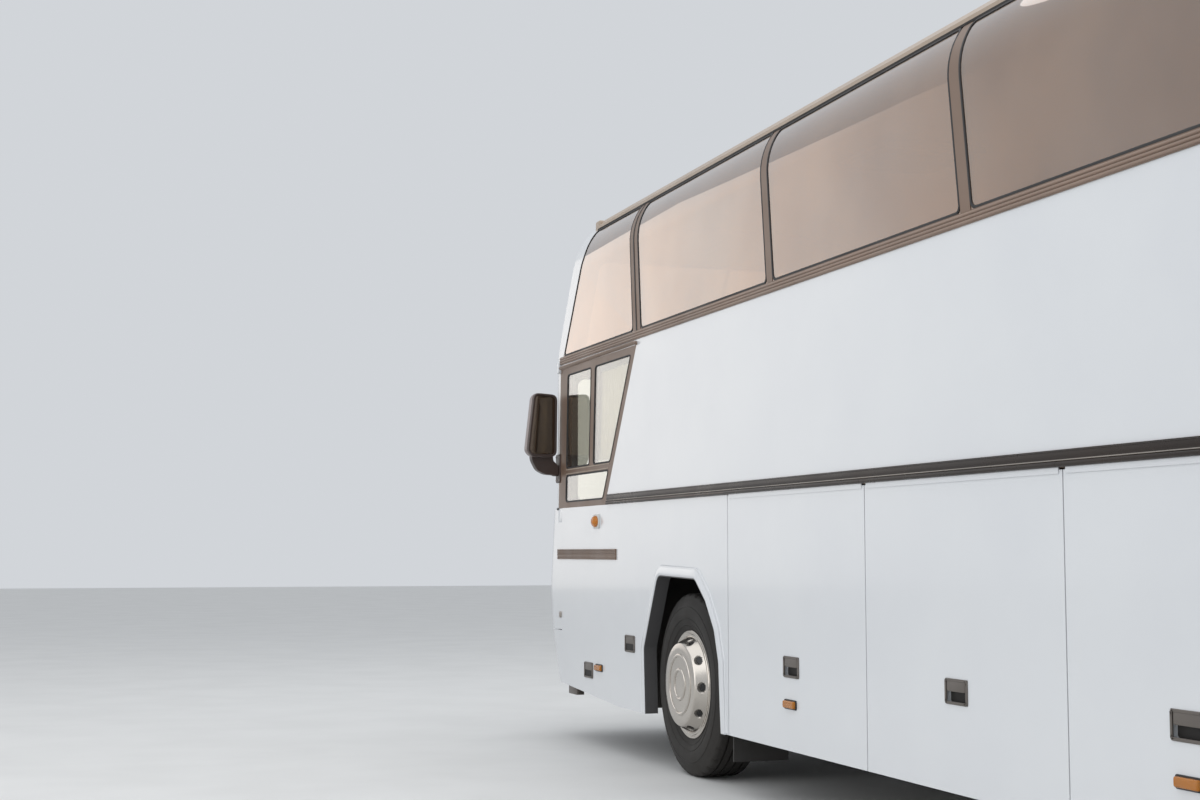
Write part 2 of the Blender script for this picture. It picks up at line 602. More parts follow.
# %% Floor, backdrop and lamps
STUDIO = 60.0
floor_mesh = bpy.data.meshes.new("floor")
floor_mesh.from_pydata([(-STUDIO, -STUDIO, 0), (STUDIO, -STUDIO, 0), (STUDIO, STUDIO, 0), (-STUDIO, STUDIO, 0)], [],
                       [(0, 1, 2, 3)])
floor = bpy.data.objects.new("floor", floor_mesh)
scene.collection.objects.link(floor)
finish("floor_pale", (0.72, 0.72, 0.71), (0.69, 0.69, 0.68), 0.7, 0.85, grain=40, depth=0.0005, wander=0.5)
floor_mesh.materials.append(finishes["floor_pale"])
world = bpy.data.worlds.new("studio")
world.use_nodes = True
world.node_tree.nodes["Background"].inputs["Color"].default_value = (0.8, 0.83, 0.87, 1.0)
world.node_tree.nodes["Background"].inputs["Strength"].default_value = 0.8
scene.world = world
staged = [floor]
WHITE = (1.0, 1.0, 1.0)
for name, place, aim, size, power, spread, tint in (
        ("over", (0.0, 0.0, 11.0), (0.0, 0.0, 0.0), (14.0, 20.0), 700.0, 180.0, WHITE),
        ("left", (11.0, 2.0, 6.5), (0.0, -1.0, 1.5), (9.0, 14.0), 250.0, 130.0, WHITE),
        ("right", (-11.0, 0.0, 6.0), (0.0, 0.0, 1.5), (8.0, 14.0), 165.0, 130.0, WHITE),
        ("front", (12.0, -26.0, 6.5), (6.8, -1.5, 3.0), (12.5, 12.0), 21.0, 40.0, (1.0, 0.91, 0.82))):
    lamp = bpy.data.lights.new(name, "AREA")
    lamp.shape = "RECTANGLE"
    lamp.size, lamp.size_y = size
    lamp.energy = power
    lamp.spread = math.radians(spread)
    lamp.color = tint
    lamp_object = bpy.data.objects.new(name, lamp)
    lamp_object.location = place
    lamp_object.rotation_euler = (Vector(aim) - Vector(place)).to_track_quat("-Z", "Y").to_euler()
    scene.collection.objects.link(lamp_object)
    staged.append(lamp_object)
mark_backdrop(*staged)
print("studio", [item.name for item in staged])

# %% [markdown]
# Tyres. The solid tyre is a plain turned ring; this one has the real surface: a bead that sits on the rim, a
# bulging wall with raised rings, a round shoulder with cross slots and a tread with four grooves all round. It is
# one closed profile turned about the axle, and only the radius of the shoulder changes with the angle. A bump
# texture would be less work, but the tyre's edge would stay smooth, and an exported mesh would lose the tread.

# %% Tyre profile and tread
TREAD_EDGE = 0.1025
GROOVES = (-0.07, -0.025, 0.025, 0.07)
GROOVE_HALF = 0.006
GROOVE_DEEP = 0.013
WALL_RINGS = (0.342, 0.378, 0.446)
RING_HIGH = 0.0028
RING_HALF = 0.0041
SHOULDER = (0.078, 0.508)
SHOULDER_SLOT = 0.009


def tyre_profile():
    """Closed outline of (offset from the tyre's middle, radius): bore, two walls and the grooved tread."""
    beside_rings = np.add.outer(WALL_RINGS, (-0.005, -0.003, 0.003, 0.005)).ravel()
    radius = np.sort(np.concatenate([np.linspace(0.305, 0.495, 16), beside_rings]))
    bulge = np.polyfit([0.305, 0.405, 0.495], [0.112, TYRE_HALF, 0.1275], 2)
    wall = np.polyval(bulge, radius)
    for ring in WALL_RINGS:
        wall = wall + RING_HIGH * (np.abs(radius - ring) < RING_HALF)
    side = [(0.104, 0.286), (0.106, 0.297)] + list(zip(wall, radius))
    side += [(0.1245, 0.506), (0.119, 0.516), (0.111, 0.5225)]
    tread = [(TREAD_EDGE, TYRE_R)]
    for middle in reversed(GROOVES):
        tread += [(middle + share * GROOVE_HALF, TYRE_R - sunk)
                  for share, sunk in ((1.0, 0.0), (0.7, GROOVE_DEEP), (-0.7, GROOVE_DEEP), (-1.0, 0.0))]
    tread.append((-TREAD_EDGE, TYRE_R))
    return np.array(side + tread + [(-x, r) for x, r in reversed(side)])


def tyre(middle, axle_y, columns=216):
    """The profile turned, with slots cut across both shoulders on every sixth column."""
    profile = tyre_profile()
    radius = np.repeat(profile[:, 1:], columns, axis=1)
    shoulder = (np.abs(profile[:, 0]) > SHOULDER[0]) & (profile[:, 1] > SHOULDER[1])
    slotted = np.arange(columns) % 6 == 0
    radius -= SHOULDER_SLOT * shoulder[:, None] * slotted[None, :]
    return turned(middle + profile[:, :1], radius, axle_y, closed=True)


for side, word in SIDES:
    front_tyre = put("tread_front_" + word, tyre(side * WHEEL_X, AXLE_F), "tyre_rubber", "wheel_front_" + word,
                     sharp=28)
    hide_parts("tyre_front_" + word)
    rear_tyres = put("tread_rear_" + word, together(tyre(side * WHEEL_X, AXLE_R), tyre(side * TWIN_X, AXLE_R)),
                     "tyre_rubber", "wheels_rear_" + word, sharp=28)
    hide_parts("tyres_rear_" + word)

# %% [markdown]
# Front wheels wear a stainless cover: stepped rings at the rim, a cone with ten oval slots, and a flat face with
# two raised rings. The cover, the rim barrel behind it and the hub are one turned profile. A slot is a dip
# pressed into the cone, and a point attribute, "pit", tells the finish where the metal turns into shadow. Cutting
# holes would work too, but a dip keeps the skin in even four-sided faces, which shade smoothly.

# %% Finish with dark pits, and the front wheel
finish("cover_steel", (0.58, 0.54, 0.49), (0.54, 0.5, 0.455), 0.13, 0.26, depth=0.00006, lathe=True)
tree, shader_node, pit = darkened("cover_steel", "pit", (0.012, 0.011, 0.01))
plain = node(tree, "MapRange", {"Value": pit, "To Min": 1.0, "To Max": 0.0})
feed(tree, shader_node, Metallic=plain.outputs[0])

COVER_SLOTS = 10
SLOT_HALF_ANGLE = math.radians(6.8)
SLOT_HALF_SHARE = 0.32
SLOT_EDGE = 2.5
SLOT_SUNK = (0.011, 0.005)
CONE = ((1.1765, 0.2745), (1.2395, 0.2385))
WHEEL_ROWS = [
    (1.15, 0.0), (1.15, 0.0603), (1.05, 0.0603), (1.05, 0.1), (1.12, 0.15), (1.12, 0.2705), (0.9335, 0.2705),
    (0.9335, 0.305), (0.9475, 0.305), (0.9475, 0.285), (1.1575, 0.285), (1.1575, 0.305), (1.16, 0.3105),
    (1.174, 0.3105), (1.1765, 0.307), (1.1765, 0.3), (1.1745, 0.2975), (1.1745, 0.292), (1.178, 0.289),
    (1.178, 0.28), (1.1755, 0.277)]
FACE_ROWS = [
    (1.242, 0.236), (1.243, 0.233), (1.244, 0.2), (1.2445, 0.178), (1.249, 0.1755), (1.251, 0.1715),
    (1.251, 0.1645), (1.249, 0.1605), (1.2445, 0.158), (1.245, 0.12), (1.2452, 0.0945), (1.2495, 0.092),
    (1.2515, 0.088), (1.2515, 0.08), (1.2495, 0.076), (1.2452, 0.0735), (1.2458, 0.04), (1.246, 0.0)]


def front_wheel(side, columns=300):
    """Wheel profile turned about the axle; inside an ellipse about each slot's middle the cone sinks by 11 mm."""
    steps = np.linspace(0, 1, 13)
    cone = np.array(CONE[0]) + steps[:, None] * (np.array(CONE[1]) - CONE[0])
    profile = np.vstack([WHEEL_ROWS, cone, FACE_ROWS])
    half_step = math.pi / COVER_SLOTS
    around_slot = (full_turn(columns) + half_step) % (2 * half_step) - half_step
    up = np.full(len(profile), np.inf)
    up[len(WHEEL_ROWS):len(WHEEL_ROWS) + len(steps)] = (steps - 0.5) / SLOT_HALF_SHARE
    inside = 1 - (around_slot[None, :] / SLOT_HALF_ANGLE) ** 2 - up[:, None] ** 2
    sunk = np.clip(inside * SLOT_EDGE, 0, 1)
    shape = turned(side * (profile[:, :1] - SLOT_SUNK[0] * sunk), profile[:, 1:] - SLOT_SUNK[1] * sunk, AXLE_F)
    return shape, {"pit": sunk.ravel(), "radius": np.broadcast_to(profile[:, 1:], sunk.shape).ravel()}


for side, word in SIDES:
    shape, marks = front_wheel(side)
    wheel = put("wheel_cover_" + word, shape, "cover_steel", "wheel_front_" + word, sharp=30, attributes=marks)
    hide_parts("rim_front_" + word)

# %% Rear wheels: trim ring, ten nuts and a hub cap over the dished centre
TRIM = [(1.17, 0.27), (1.17, 0.31), (1.1745, 0.31), (1.1765, 0.307), (1.1765, 0.298), (1.174, 0.294),
        (1.1765, 0.29), (1.1765, 0.278), (1.16, 0.264), (1.12, 0.26), (1.12, 0.2705)]
CAP = [(1.138, 0.0), (1.138, 0.086), (1.146, 0.086), (1.158, 0.078), (1.166, 0.06), (1.1665, 0.03), (1.167, 0.0)]
NUT_R = 0.1675
TRIM_COLUMNS = 96


def hexagon(width):
    """Six-cornered outline with the given width over the flats."""
    angle = full_turn(6)
    return width / math.sqrt(3) * np.stack([np.cos(angle), np.sin(angle)], axis=1)


def around(shape, axle_y, count):
    """Copies of a shape turned in even steps about an axle across the coach."""
    points, faces = shape
    angle = np.arange(count)[:, None] * (2 * math.pi / count)
    y, z = points[:, 1] - axle_y, points[:, 2] - TYRE_R
    turned_y = axle_y + y * np.cos(angle) - z * np.sin(angle)
    turned_z = TYRE_R + y * np.sin(angle) + z * np.cos(angle)
    x = np.broadcast_to(points[:, 0], turned_y.shape)
    past = np.arange(count)[:, None, None] * len(points)
    return (np.stack([x, turned_y, turned_z], axis=-1).reshape(-1, 3),
            [(f[None] + past).reshape(-1, f.shape[1]) for f in faces])


nut = plate(hexagon(0.032), 0.03, 0.004)
stud = plate(rounded(0.02, 0.02, 0.0099, 4), 0.046, 0.003)
nuts = around(placed(together(nut, stud), (0.925, AXLE_R + NUT_R, TYRE_R), Y, Z, X), AXLE_R, 10)
ring_x, ring_radius = (np.repeat(column[:, None], TRIM_COLUMNS, axis=1) for column in np.array(TRIM).T)
cap_x, cap_radius = (np.repeat(column[:, None], TRIM_COLUMNS, axis=1) for column in np.array(CAP).T)
trim_shape = together(turned(ring_x, ring_radius, AXLE_R, closed=True), turned(cap_x, cap_radius, AXLE_R))
radius_marks = np.concatenate([ring_radius.ravel(), cap_radius.ravel()])
marks = {"radius": radius_marks, "pit": 0 * radius_marks}
for side, word in SIDES:
    put("wheel_trim_" + word, sided(trim_shape, side), "cover_steel", "wheels_rear_" + word, attributes=marks)
    put("wheel_nuts_" + word, sided(nuts, side), "wheel_steel", "wheels_rear_" + word)

# %% [markdown]
# Long trim runs along both sides: three soft ribs on the waist strip; on the belt a dark cover, a round bead over
# the flaps' hinges and a bright line under it; a dark groove in the roof rail; and rubber round every pane. A
# seal is a small profile swept along a closed path. The path is drawn as a rounded rectangle of shares: how far
# between the two leaning posts, and how high; the body's curve gives the rest. A bevelled curve object would
# twist on the leaning glass, while this sweep is told which way is out.

# %% Paths
def denser(path, step, closed=False):
    """Path with extra points, so that no step is longer than the given one."""
    path = np.asarray(path, float)
    if closed:
        path = np.vstack([path, path[:1]])
    length = np.concatenate([[0], np.cumsum(np.linalg.norm(np.diff(path, axis=0), axis=1))])
    keep = np.concatenate([[True], np.diff(length) > 1e-7])
    path, length = path[keep], length[keep]
    spots = np.unique(np.concatenate([length, np.arange(0, length[-1], step)]))
    dense = np.stack([np.interp(spots, length, path[:, k]) for k in range(path.shape[1])], axis=1)
    return dense[:-1] if closed else dense


def softened(corners, radius, closed=False, steps=6):
    """Polyline whose corners are rounded: each corner gives way to a curve that starts a radius before it."""
    corners = np.asarray(corners, float)
    before = np.roll(corners, 1, axis=0) - corners
    after = np.roll(corners, -1, axis=0) - corners
    reach = np.minimum(radius, 0.45 * np.minimum(np.linalg.norm(before, axis=1), np.linalg.norm(after, axis=1)))
    a = corners + before / np.linalg.norm(before, axis=1, keepdims=True) * reach[:, None]
    b = corners + after / np.linalg.norm(after, axis=1, keepdims=True) * reach[:, None]
    t = np.linspace(0, 1, steps)[None, :, None]
    curves = (1 - t) ** 2 * a[:, None] + 2 * t * (1 - t) * corners[:, None] + t ** 2 * b[:, None]
    if closed:
        return curves.reshape(-1, corners.shape[1])
    return np.vstack([corners[:1], curves[1:-1].reshape(-1, corners.shape[1]), corners[-1:]])


def at_x(x, line):
    """(y, z) line as a path at one distance from the middle."""
    return np.column_stack([np.full(len(line), x), line])


def run_along(x, z, y0, y1, profile):
    """Straight strip along the coach's side."""
    return swept(profile, [(x, y0, z), (x, y1, z)], X)


# %% Ribs and grooves along the strips
STRIP_X = HALF + 0.006
WAIST_ENDS = (-5.516, 5.698)
BELT_ENDS = (-4.455, 5.698)
BEAD_X = 1.258
BEAD_Z = 1.6095
BEAD_R = 0.0112
EAR = 0.0235
COVER = EAR - 0.0013
COVER_R = 0.0108
ribs = [run_along(STRIP_X - 0.001, z, *WAIST_ENDS, round_bar(0.0065, 10)) for z in (2.628, 2.644, 2.66)]
put("waist_ribs", both_sides(*ribs), "strip_mauve")
band = even_profile((-0.002, 0.0195), (0.0025, 0.0195), (0.004, 0.0165))
belt = [run_along(STRIP_X, 1.6435, *BELT_ENDS, band),
        run_along(STRIP_X + 0.004, 1.657, *BELT_ENDS, round_bar(0.002, 6))]
belt += [run_along(STRIP_X, BEAD_Z, *ends, round_bar(BEAD_R, 14))
         for ends in ((BELT_ENDS[0], FLAP_SEAMS[0] - EAR), (FLAP_SEAMS[-1] + EAR, BELT_ENDS[1]))]
put("belt_cover", both_sides(*belt), "belt_dark")
for number, (start, stop) in enumerate(zip(FLAP_SEAMS, FLAP_SEAMS[1:]), start=1):
    bead = run_along(BEAD_X, BEAD_Z, start + EAR, stop - EAR, round_bar(BEAD_R, 14))
    for side, word in SIDES:
        put(f"flap_bead_{word}_{number}", sided(bead, side), "belt_dark", f"flap_{word}_{number}")
covers = [run_along(BEAD_X, BEAD_Z, seam - COVER, seam + COVER, round_bar(COVER_R, 14)) for seam in FLAP_SEAMS]
put("hinge_covers", both_sides(*covers), "belt_dark")
line = run_along(STRIP_X + 0.0035, 1.6242, *BELT_ENDS, round_bar(0.0028, 8))
put("belt_lines", both_sides(line), "brush_metal")
groove = run_along(1.1265, 3.5205, -5.03, 5.54, even_profile((-0.004, 0.006), (0.0045, 0.006)))
put("rail_grooves", both_sides(groove), "recess_dark")
nub = placed(slab(0.1, 0.085, 0.02, 0.05, 0.012), (1.075, -5.055, 3.545), Y, Z, X)
put("rail_ends", both_sides(nub), "rail_beige")

# %% Rubber round the upper panes
PANE_INSET = 0.007
PANE_LOW = WAIST_TOP + PANE_INSET
PANE_HIGH = RAIL_Z - 0.034
LAST_EDGE = 8.86


def post_edge(back):
    """Edge of a leaning post at each height, from its place at the waist behind the front axle."""
    return lambda z: AXLE_F + back - POST_LEAN * (z - WAIST_TOP)


def first_edge(z):
    """Front edge of the first pane: it leans back with the front of the roof."""
    return np.interp(z, [WAIST_TOP, KNEE_Z + 0.09, RAIL_Z], [-5.455, -5.065, -5.04])


pane_edges = [(first_edge, post_edge(POSTS[0][0] - POSTS[0][1] / 2))]
for (start, start_width), (stop, stop_width) in zip(POSTS, POSTS[1:]):
    pane_edges.append((post_edge(start + start_width / 2), post_edge(stop - stop_width / 2)))
pane_edges.append((post_edge(POSTS[-1][0] + POSTS[-1][1] / 2), post_edge(LAST_EDGE)))
SEAL = even_profile((-0.002, 0.007), (0.003, 0.007), (0.0045, 0.003))


def pane_path(front_edge, rear_edge):
    """Closed path on the curved glass, a small distance inside the pane's edges."""
    middle = (PANE_LOW + PANE_HIGH) / 2
    width = rear_edge(middle) - front_edge(middle)
    outline = denser(rounded(width - 2 * PANE_INSET, PANE_HIGH - PANE_LOW, 0.035), 0.04, closed=True)
    z = middle + outline[:, 1]
    share_across = outline[:, 0] / width + 0.5
    y = front_edge(z) + share_across * (rear_edge(z) - front_edge(z))
    out = side_out(z)
    return np.stack([side_x(z) - 0.003, y, z], axis=1), np.stack([out[:, 0], 0 * z, out[:, 1]], axis=1)


seals = [swept(SEAL, *pane_path(*edges), closed=True) for edges in pane_edges]
put("pane_seals", both_sides(*seals), "seal_rubber")
z = np.linspace(WAIST_TOP + 0.004, RAIL_Z - 0.04, 20)
out = side_out(z)
split = np.stack([side_x(z) + 0.0005, post_edge(POSTS[0][0])(z), z], axis=1)
split = swept(even_profile((-0.002, 0.008), (0.002, 0.008)), split,
              np.stack([out[:, 0], 0 * z, out[:, 1]], axis=1))
put("post_splits", both_sides(split), "seal_rubber")

# %% [markdown]
# Arch lips. The solid lip is a flat band; a crowned band over it, highest near the opening, makes it the pressed
# panel that catches the light, and a dark rubber edge lines the opening. The path is the arch's own outline with
# the solid's corner radius.

# %% Rolled edges of the wheel arches
ARCH = [(-0.546, 0.312), (-0.57, 0.706), (-0.32, 1.154), (0.298, 1.141), (0.465, 1.018), (0.594, 0.861),
        (0.656, 0.69), (0.673, 0.455), (0.686, 0.312)]
ARCH_CORNER = 0.09


def filleted(corners, radius, steps=7):
    """Polyline with its inner corners as arcs: each starts radius times tan(half the turn) before the corner."""
    corners = np.asarray(corners, float)
    before = corners[:-2] - corners[1:-1]
    after = corners[2:] - corners[1:-1]
    reach_before, reach_after = np.linalg.norm(before, axis=1), np.linalg.norm(after, axis=1)
    before /= reach_before[:, None]
    after /= reach_after[:, None]
    turn = math.pi - np.arccos(np.clip((before * after).sum(axis=1), -1, 1))
    reach = np.minimum(radius * np.tan(turn / 2), 0.49 * np.minimum(reach_before, reach_after))[:, None, None]
    t = np.linspace(0, 1, steps)[None, :, None]
    middle = corners[1:-1, None]
    curves = middle + (1 - t) ** 2 * reach * before[:, None] + t ** 2 * reach * after[:, None]
    return np.vstack([corners[:1], curves.reshape(-1, corners.shape[1]), corners[-1:]])


def arch_path(axle_y):
    """Arch outline on the side plane."""
    line = denser(filleted(ARCH, ARCH_CORNER), 0.08)
    return at_x(HALF, line + [axle_y, 0.0])


CROWN = [(-0.018, 0.0035), (0.01, 0.004), (0.0155, 0.0015), (0.0178, -0.005), (0.0182, -0.012), (0.0172, -0.024),
         (0.0148, -0.038), (0.0105, -0.05), (0.004, -0.0585), (-0.002, -0.061)]
RUBBER = [(0.012, 0.003), (0.012, 0.0085), (-0.07, 0.0085), (-0.07, 0.003)]
lips = [swept(CROWN, arch_path(axle_y), X) for axle_y in (AXLE_F, AXLE_R)]
put("arch_lips", both_sides(*lips), "body_white", sharp=50)
edges = [swept(RUBBER, arch_path(axle_y), X) for axle_y in (AXLE_F, AXLE_R)]
put("arch_rubbers", both_sides(*edges), "arch_rubber")

# %% [markdown]
# Latches and marker lamps. Each flap has a recessed latch: a frame, a plate above and a dark space for the
# fingers. Two more sit on the side ahead of the front wheel. A picture of a latch could stand for it from afar,
# but here the camera is close, and a real rim casts a line of shadow. Amber markers keep their real places along
# the skirt.

# %% Latches
def on_side(shape, y, z, x=HALF):
    """Shape drawn in (u along the coach, v up, w outwards) put on the left side."""
    return placed(shape, (x, y, z), FORE, Z, X)


def latch(width=0.18, height=0.105, frame_width=0.012, recess=0.0):
    """Shapes of one latch about its middle: frame with handle plate, and the dark space below the plate."""
    rim = ring_plate(rounded(width, height, 0.012), frame_width, 0.007, 0.002)
    handle = slab(width - 0.034, height * 0.42, 0.008, 0.005, 0.002)
    handle = moved(handle, (0, height * 0.21, 0))
    hole = plate(rounded(width - 0.02, height - 0.018, 0.01), 0.0015, 0.0005, foot=-recess)
    return together(rim, handle), hole


def put_latch(titles, shapes, body="coach"):
    """Two pieces of a latch, its metal and its dark space."""
    for title, shape, kind in zip(titles, shapes, ("dark_metal", "recess_dark")):
        put(title, shape, kind, body)


LATCH_Z = 0.7205
flap_middles = [(a + b) / 2 for a, b in zip(FLAP_SEAMS, FLAP_SEAMS[1:])]
for number, middle in enumerate(flap_middles, start=1):
    pair = [on_side(shape, middle, LATCH_Z, HALF - 0.0005) for shape in latch(recess=0.019)]
    for side, word in SIDES:
        put_latch((f"latch_{word}_{number}", f"latch_space_{word}_{number}"),
                  [sided(shape, side) for shape in pair], f"flap_{word}_{number}")
fore, aft = [[on_side(shape, AXLE_F + y, z) for shape in latch()] for y, z in ((-1.696, 0.5025), (-0.852, 0.7175))]
put_latch(("front_latches", "front_latch_spaces"), [together(a, b, mirrored(b)) for a, b in zip(fore, aft)])

# %% Marker lamps, side repeater and side grille
def dome(width, height, rise, rows=8, columns=24):
    """Half of an ellipsoid standing on w = 0, its pole closed."""
    lift = np.linspace(0, math.pi / 2, rows)[:, None]
    turn = full_turn(columns)[None, :]
    points = np.stack([width / 2 * np.cos(lift) * np.cos(turn), height / 2 * np.cos(lift) * np.sin(turn),
                       rise * np.sin(lift) + 0 * turn], axis=-1)
    shape, faces = surface(points, wrap_v=True)
    return shape, faces + [np.arange(columns)[None, ::-1]]


lens = slab(0.128, 0.036, 0.008, 0.015, 0.006)
base = slab(0.142, 0.048, 0.01, 0.006, 0.002)
markers = (("coach", AXLE_F - 1.472, 0.53), ("flap_{}_1", AXLE_F + 1.5715, 0.5375),
           ("flap_{}_3", flap_middles[2], 0.5375), ("coach", 5.04, 0.5375))
for number, (body, y, z) in enumerate(markers, start=1):
    for side, word in SIDES[:1] if number == 1 else SIDES:
        put(f"marker_base_{word}_{number}", sided(on_side(base, y, z), side), "seal_rubber", body.format(word),
            slot="flap_rubber")
        put(f"marker_lens_{word}_{number}", sided(on_side(lens, y, z, HALF + 0.004), side), "lamp_amber",
            body.format(word))
repeater_y, repeater_z = AXLE_F - 1.525, 1.491
put("repeater_base", on_side(slab(0.128, 0.095, 0.022, 0.01, 0.004), repeater_y, repeater_z), "plate_blank")
put("repeater_lens", on_side(dome(0.108, 0.078, 0.03), repeater_y, repeater_z, HALF + 0.009), "lamp_amber")
GRILLE_ENDS = (AXLE_F - 2.411, AXLE_F - 1.12)
rows = [run_along(STRIP_X, z, *GRILLE_ENDS, round_bar(radius, 8)) for radius, z in (
    (0.0042, 1.272), (0.0042, 1.2825), (0.0042, 1.293), (0.0042, 1.3035), (0.0035, 1.2435), (0.0035, 1.252))]
put("side_grille_ribs", rows, "trim_brown")
put("side_grille_line", run_along(STRIP_X, 1.262, *GRILLE_ENDS, round_bar(0.003, 8)), "strip_mauve")

# %% [markdown]
# The driver's window. A brown frame holds three panes; rubber runs round each, two light lines mark the bar above
# the lowest pane, and a drip moulding shades the whole. Behind the rear pane hangs a gathered curtain on a rod.
# It is a single sheet, so it is declared with the size that it has when it lies flat. A cloth simulation could
# hang it, but a sine wave gives the same pleats every time.

# %% Seals, drip moulding and sill lines of the driver's window
SEAL_X = HALF - 0.0025
CAB_HEAD = 2.584
CAB_PANE_HIGH = 2.531
CAB_PANE_LOW = 1.64
CAB_BAR = (1.822, 1.876)
CAB_FRONT_BAR = 0.175
CAB_REAR_BAR = 0.078
DIVIDER_HALF = 0.045


def share_line(z, low, high):
    """Straight edge between its places at the belt and at the head of the driver's window."""
    return AXLE_F + low + (np.asarray(z) - BELT_Z) / (CAB_HEAD - BELT_Z) * (high - low)


def cab_front_edge(z):
    """Front edge of the driver's panes."""
    return share_line(z, -2.407, -2.358) + CAB_FRONT_BAR


def cab_slant_edge(z):
    """Slanted rear edge of the driver's panes."""
    return share_line(z, -1.35, -0.722) - CAB_REAR_BAR


def cab_divider_edge(z):
    """Middle of the upright bar between the driver's panes."""
    return AXLE_F - 1.65 + 0.07 * (np.asarray(z) - CAB_BAR[1])


def cab_pane(front, rear, low, high):
    """Closed path round one of the driver's panes, just outside the glass."""
    corners = [(front(low), low), (rear(low), low), (rear(high), high), (front(high), high)]
    line = denser(softened(corners, 0.03, closed=True), 0.05, closed=True)
    return at_x(SEAL_X, line)


cab_paths = [
    cab_pane(cab_front_edge, lambda z: cab_divider_edge(z) - DIVIDER_HALF, CAB_BAR[1], CAB_PANE_HIGH),
    cab_pane(lambda z: cab_divider_edge(z) + DIVIDER_HALF, cab_slant_edge, CAB_BAR[1], CAB_PANE_HIGH),
    cab_pane(cab_front_edge, cab_slant_edge, CAB_PANE_LOW, CAB_BAR[0])]
cab_seals = [swept(round_bar(0.0065, 8), path, X, closed=True) for path in cab_paths]
put("cab_seals", cab_seals, "seal_rubber")
lines = [swept(round_bar(0.004, 8),
               [(HALF, float(edge(z)), z) for edge in (cab_front_edge, cab_slant_edge)], X) for z in (1.834, 1.864)]
put("cab_bar_lines", lines, "rail_beige")
drip = [(-0.002, -0.012), (0.014, -0.012), (0.02, -0.006), (0.016, 0.002), (0.004, 0.01), (-0.002, 0.012)]
drip_path = [(HALF, -5.52, 2.59), (HALF, -5.48, 2.594), (HALF, -3.905, 2.598), (HALF, -3.868, 2.59)]
put("drip_mouldings", both_sides(swept(drip, drip_path, X)), "strip_mauve")
nub = on_side(slab(0.05, 0.084, 0.012, 0.021, 0.006), -5.532, 2.6)
put("drip_ends", both_sides(nub), "body_white")

# %% The driver's curtain and its rod
CURTAIN_X = 1.176
CURTAIN_Y = (-4.985, -4.03)
CURTAIN_Z = (1.905, 2.5)
PLEATS = 12
PLEAT_DEEP = 0.016
FRONT_SWAY = 0.024
HEM_SHORT = 0.14
ROD_Z = 2.502


def curtain(columns=340, rows=24):
    """Sheet hung in pleats: across the coach it swings as a sine wave, which widens and shifts towards the hem."""
    across = np.linspace(0, 1, columns)[None, :]
    down = np.linspace(0, 1, rows)[:, None]
    front = CURTAIN_Y[0] + FRONT_SWAY * np.sin(down * 2.6) ** 2
    y = front + across * (CURTAIN_Y[1] - HEM_SHORT * down - front)
    swing = PLEAT_DEEP * (0.75 + 0.45 * down) * np.sin(2 * math.pi * PLEATS * across + 0.9 * down ** 2)
    x = CURTAIN_X + swing
    z = CURTAIN_Z[1] - down * (CURTAIN_Z[1] - CURTAIN_Z[0]) + 0.002 * np.sin(9 * across + 2 * down)
    return np.stack([x, y, z + 0 * across], axis=-1)


cloth_points = curtain()
corner = cloth_points[:-1, :-1]
cells = np.cross(cloth_points[1:, :-1] - corner, cloth_points[:-1, 1:] - corner)
drape = put("cab_curtain", surface(cloth_points), "curtain_cloth", slot="seat_fabric", keep_faces=True, sharp=180)
rod = swept(round_bar(0.006, 12), [(CURTAIN_X, -5.3, ROD_Z), (CURTAIN_X, -3.955, ROD_Z)], X)
ends = [swept(round_bar(0.008, 10), [(1.172, y, ROD_Z), (1.212, y, ROD_Z)], Y) for y in (-5.29, -3.97)]
curtain_rod = put("curtain_rod", together(rod, *ends), "brush_metal", slot="wheel_steel")

# %% [markdown]
# Mirrors. The solid is a slab with the right outline; the real housing is a shell that is full at its rim and
# draws in towards its front, with a bezel, a slightly curved glass, a lighter cover outside, and a bent arm to a
# bolted plate. Sculpting could shape the shell; here its outline is stacked and drawn in a little more at each
# step, which keeps the bezel even.

# %% Mirror housings, glasses, covers and arms
MIRROR = [(1.28, 2.404), (1.452, 2.416), (1.498, 2.005), (1.462, 1.962), (1.284, 1.963)]
MIRROR_FOOT = [(1.3, 1.975), (1.462, 1.975), (1.452, 1.93), (1.418, 1.868), (1.36, 1.838), (1.262, 1.832),
               (1.262, 1.905), (1.3, 1.935)]
MIRROR_DEEP = 0.155
MIRROR_REAR = AXLE_F - 2.495 + MIRROR_DEEP
RIGHT_AHEAD = 0.13
MIRROR_FOOT_Z = 1.8805
SHELL_ROWS = [(0.014, 0.017), (0.001, 0.014), (0.0, 0.011), (0.0, 0.004), (0.004, 0.0), (0.06, 0.001), (0.1, 0.004),
              (0.127, 0.01), (0.145, 0.02), (0.153, 0.031), (0.155, 0.038)]
GLASS_ROWS = [(0.013, 0.0165), (0.01, 0.017), (0.0085, 0.022), (0.0078, 0.036)]
COVER_ROWS = [(0.03, 0.0015), (0.031, -0.0025), (0.062, -0.0022), (0.099, 0.001), (0.127, 0.0065), (0.146, 0.0165),
              (0.1545, 0.028), (0.157, 0.036)]
mirror_line = softened(MIRROR, 0.045, closed=True)[::-1]
foot_line = softened(MIRROR_FOOT, 0.02, closed=True, steps=4)[::-1]


def stations(outline, rear, rows):
    """Closed body from one outline, drawn in by an inset at each distance ahead of its rear end."""
    rings = [np.insert(drawn_in(outline, inset), 1, rear - ahead, axis=1) for ahead, inset in rows]
    return capped(surface(np.array(rings), wrap_v=True), len(outline))


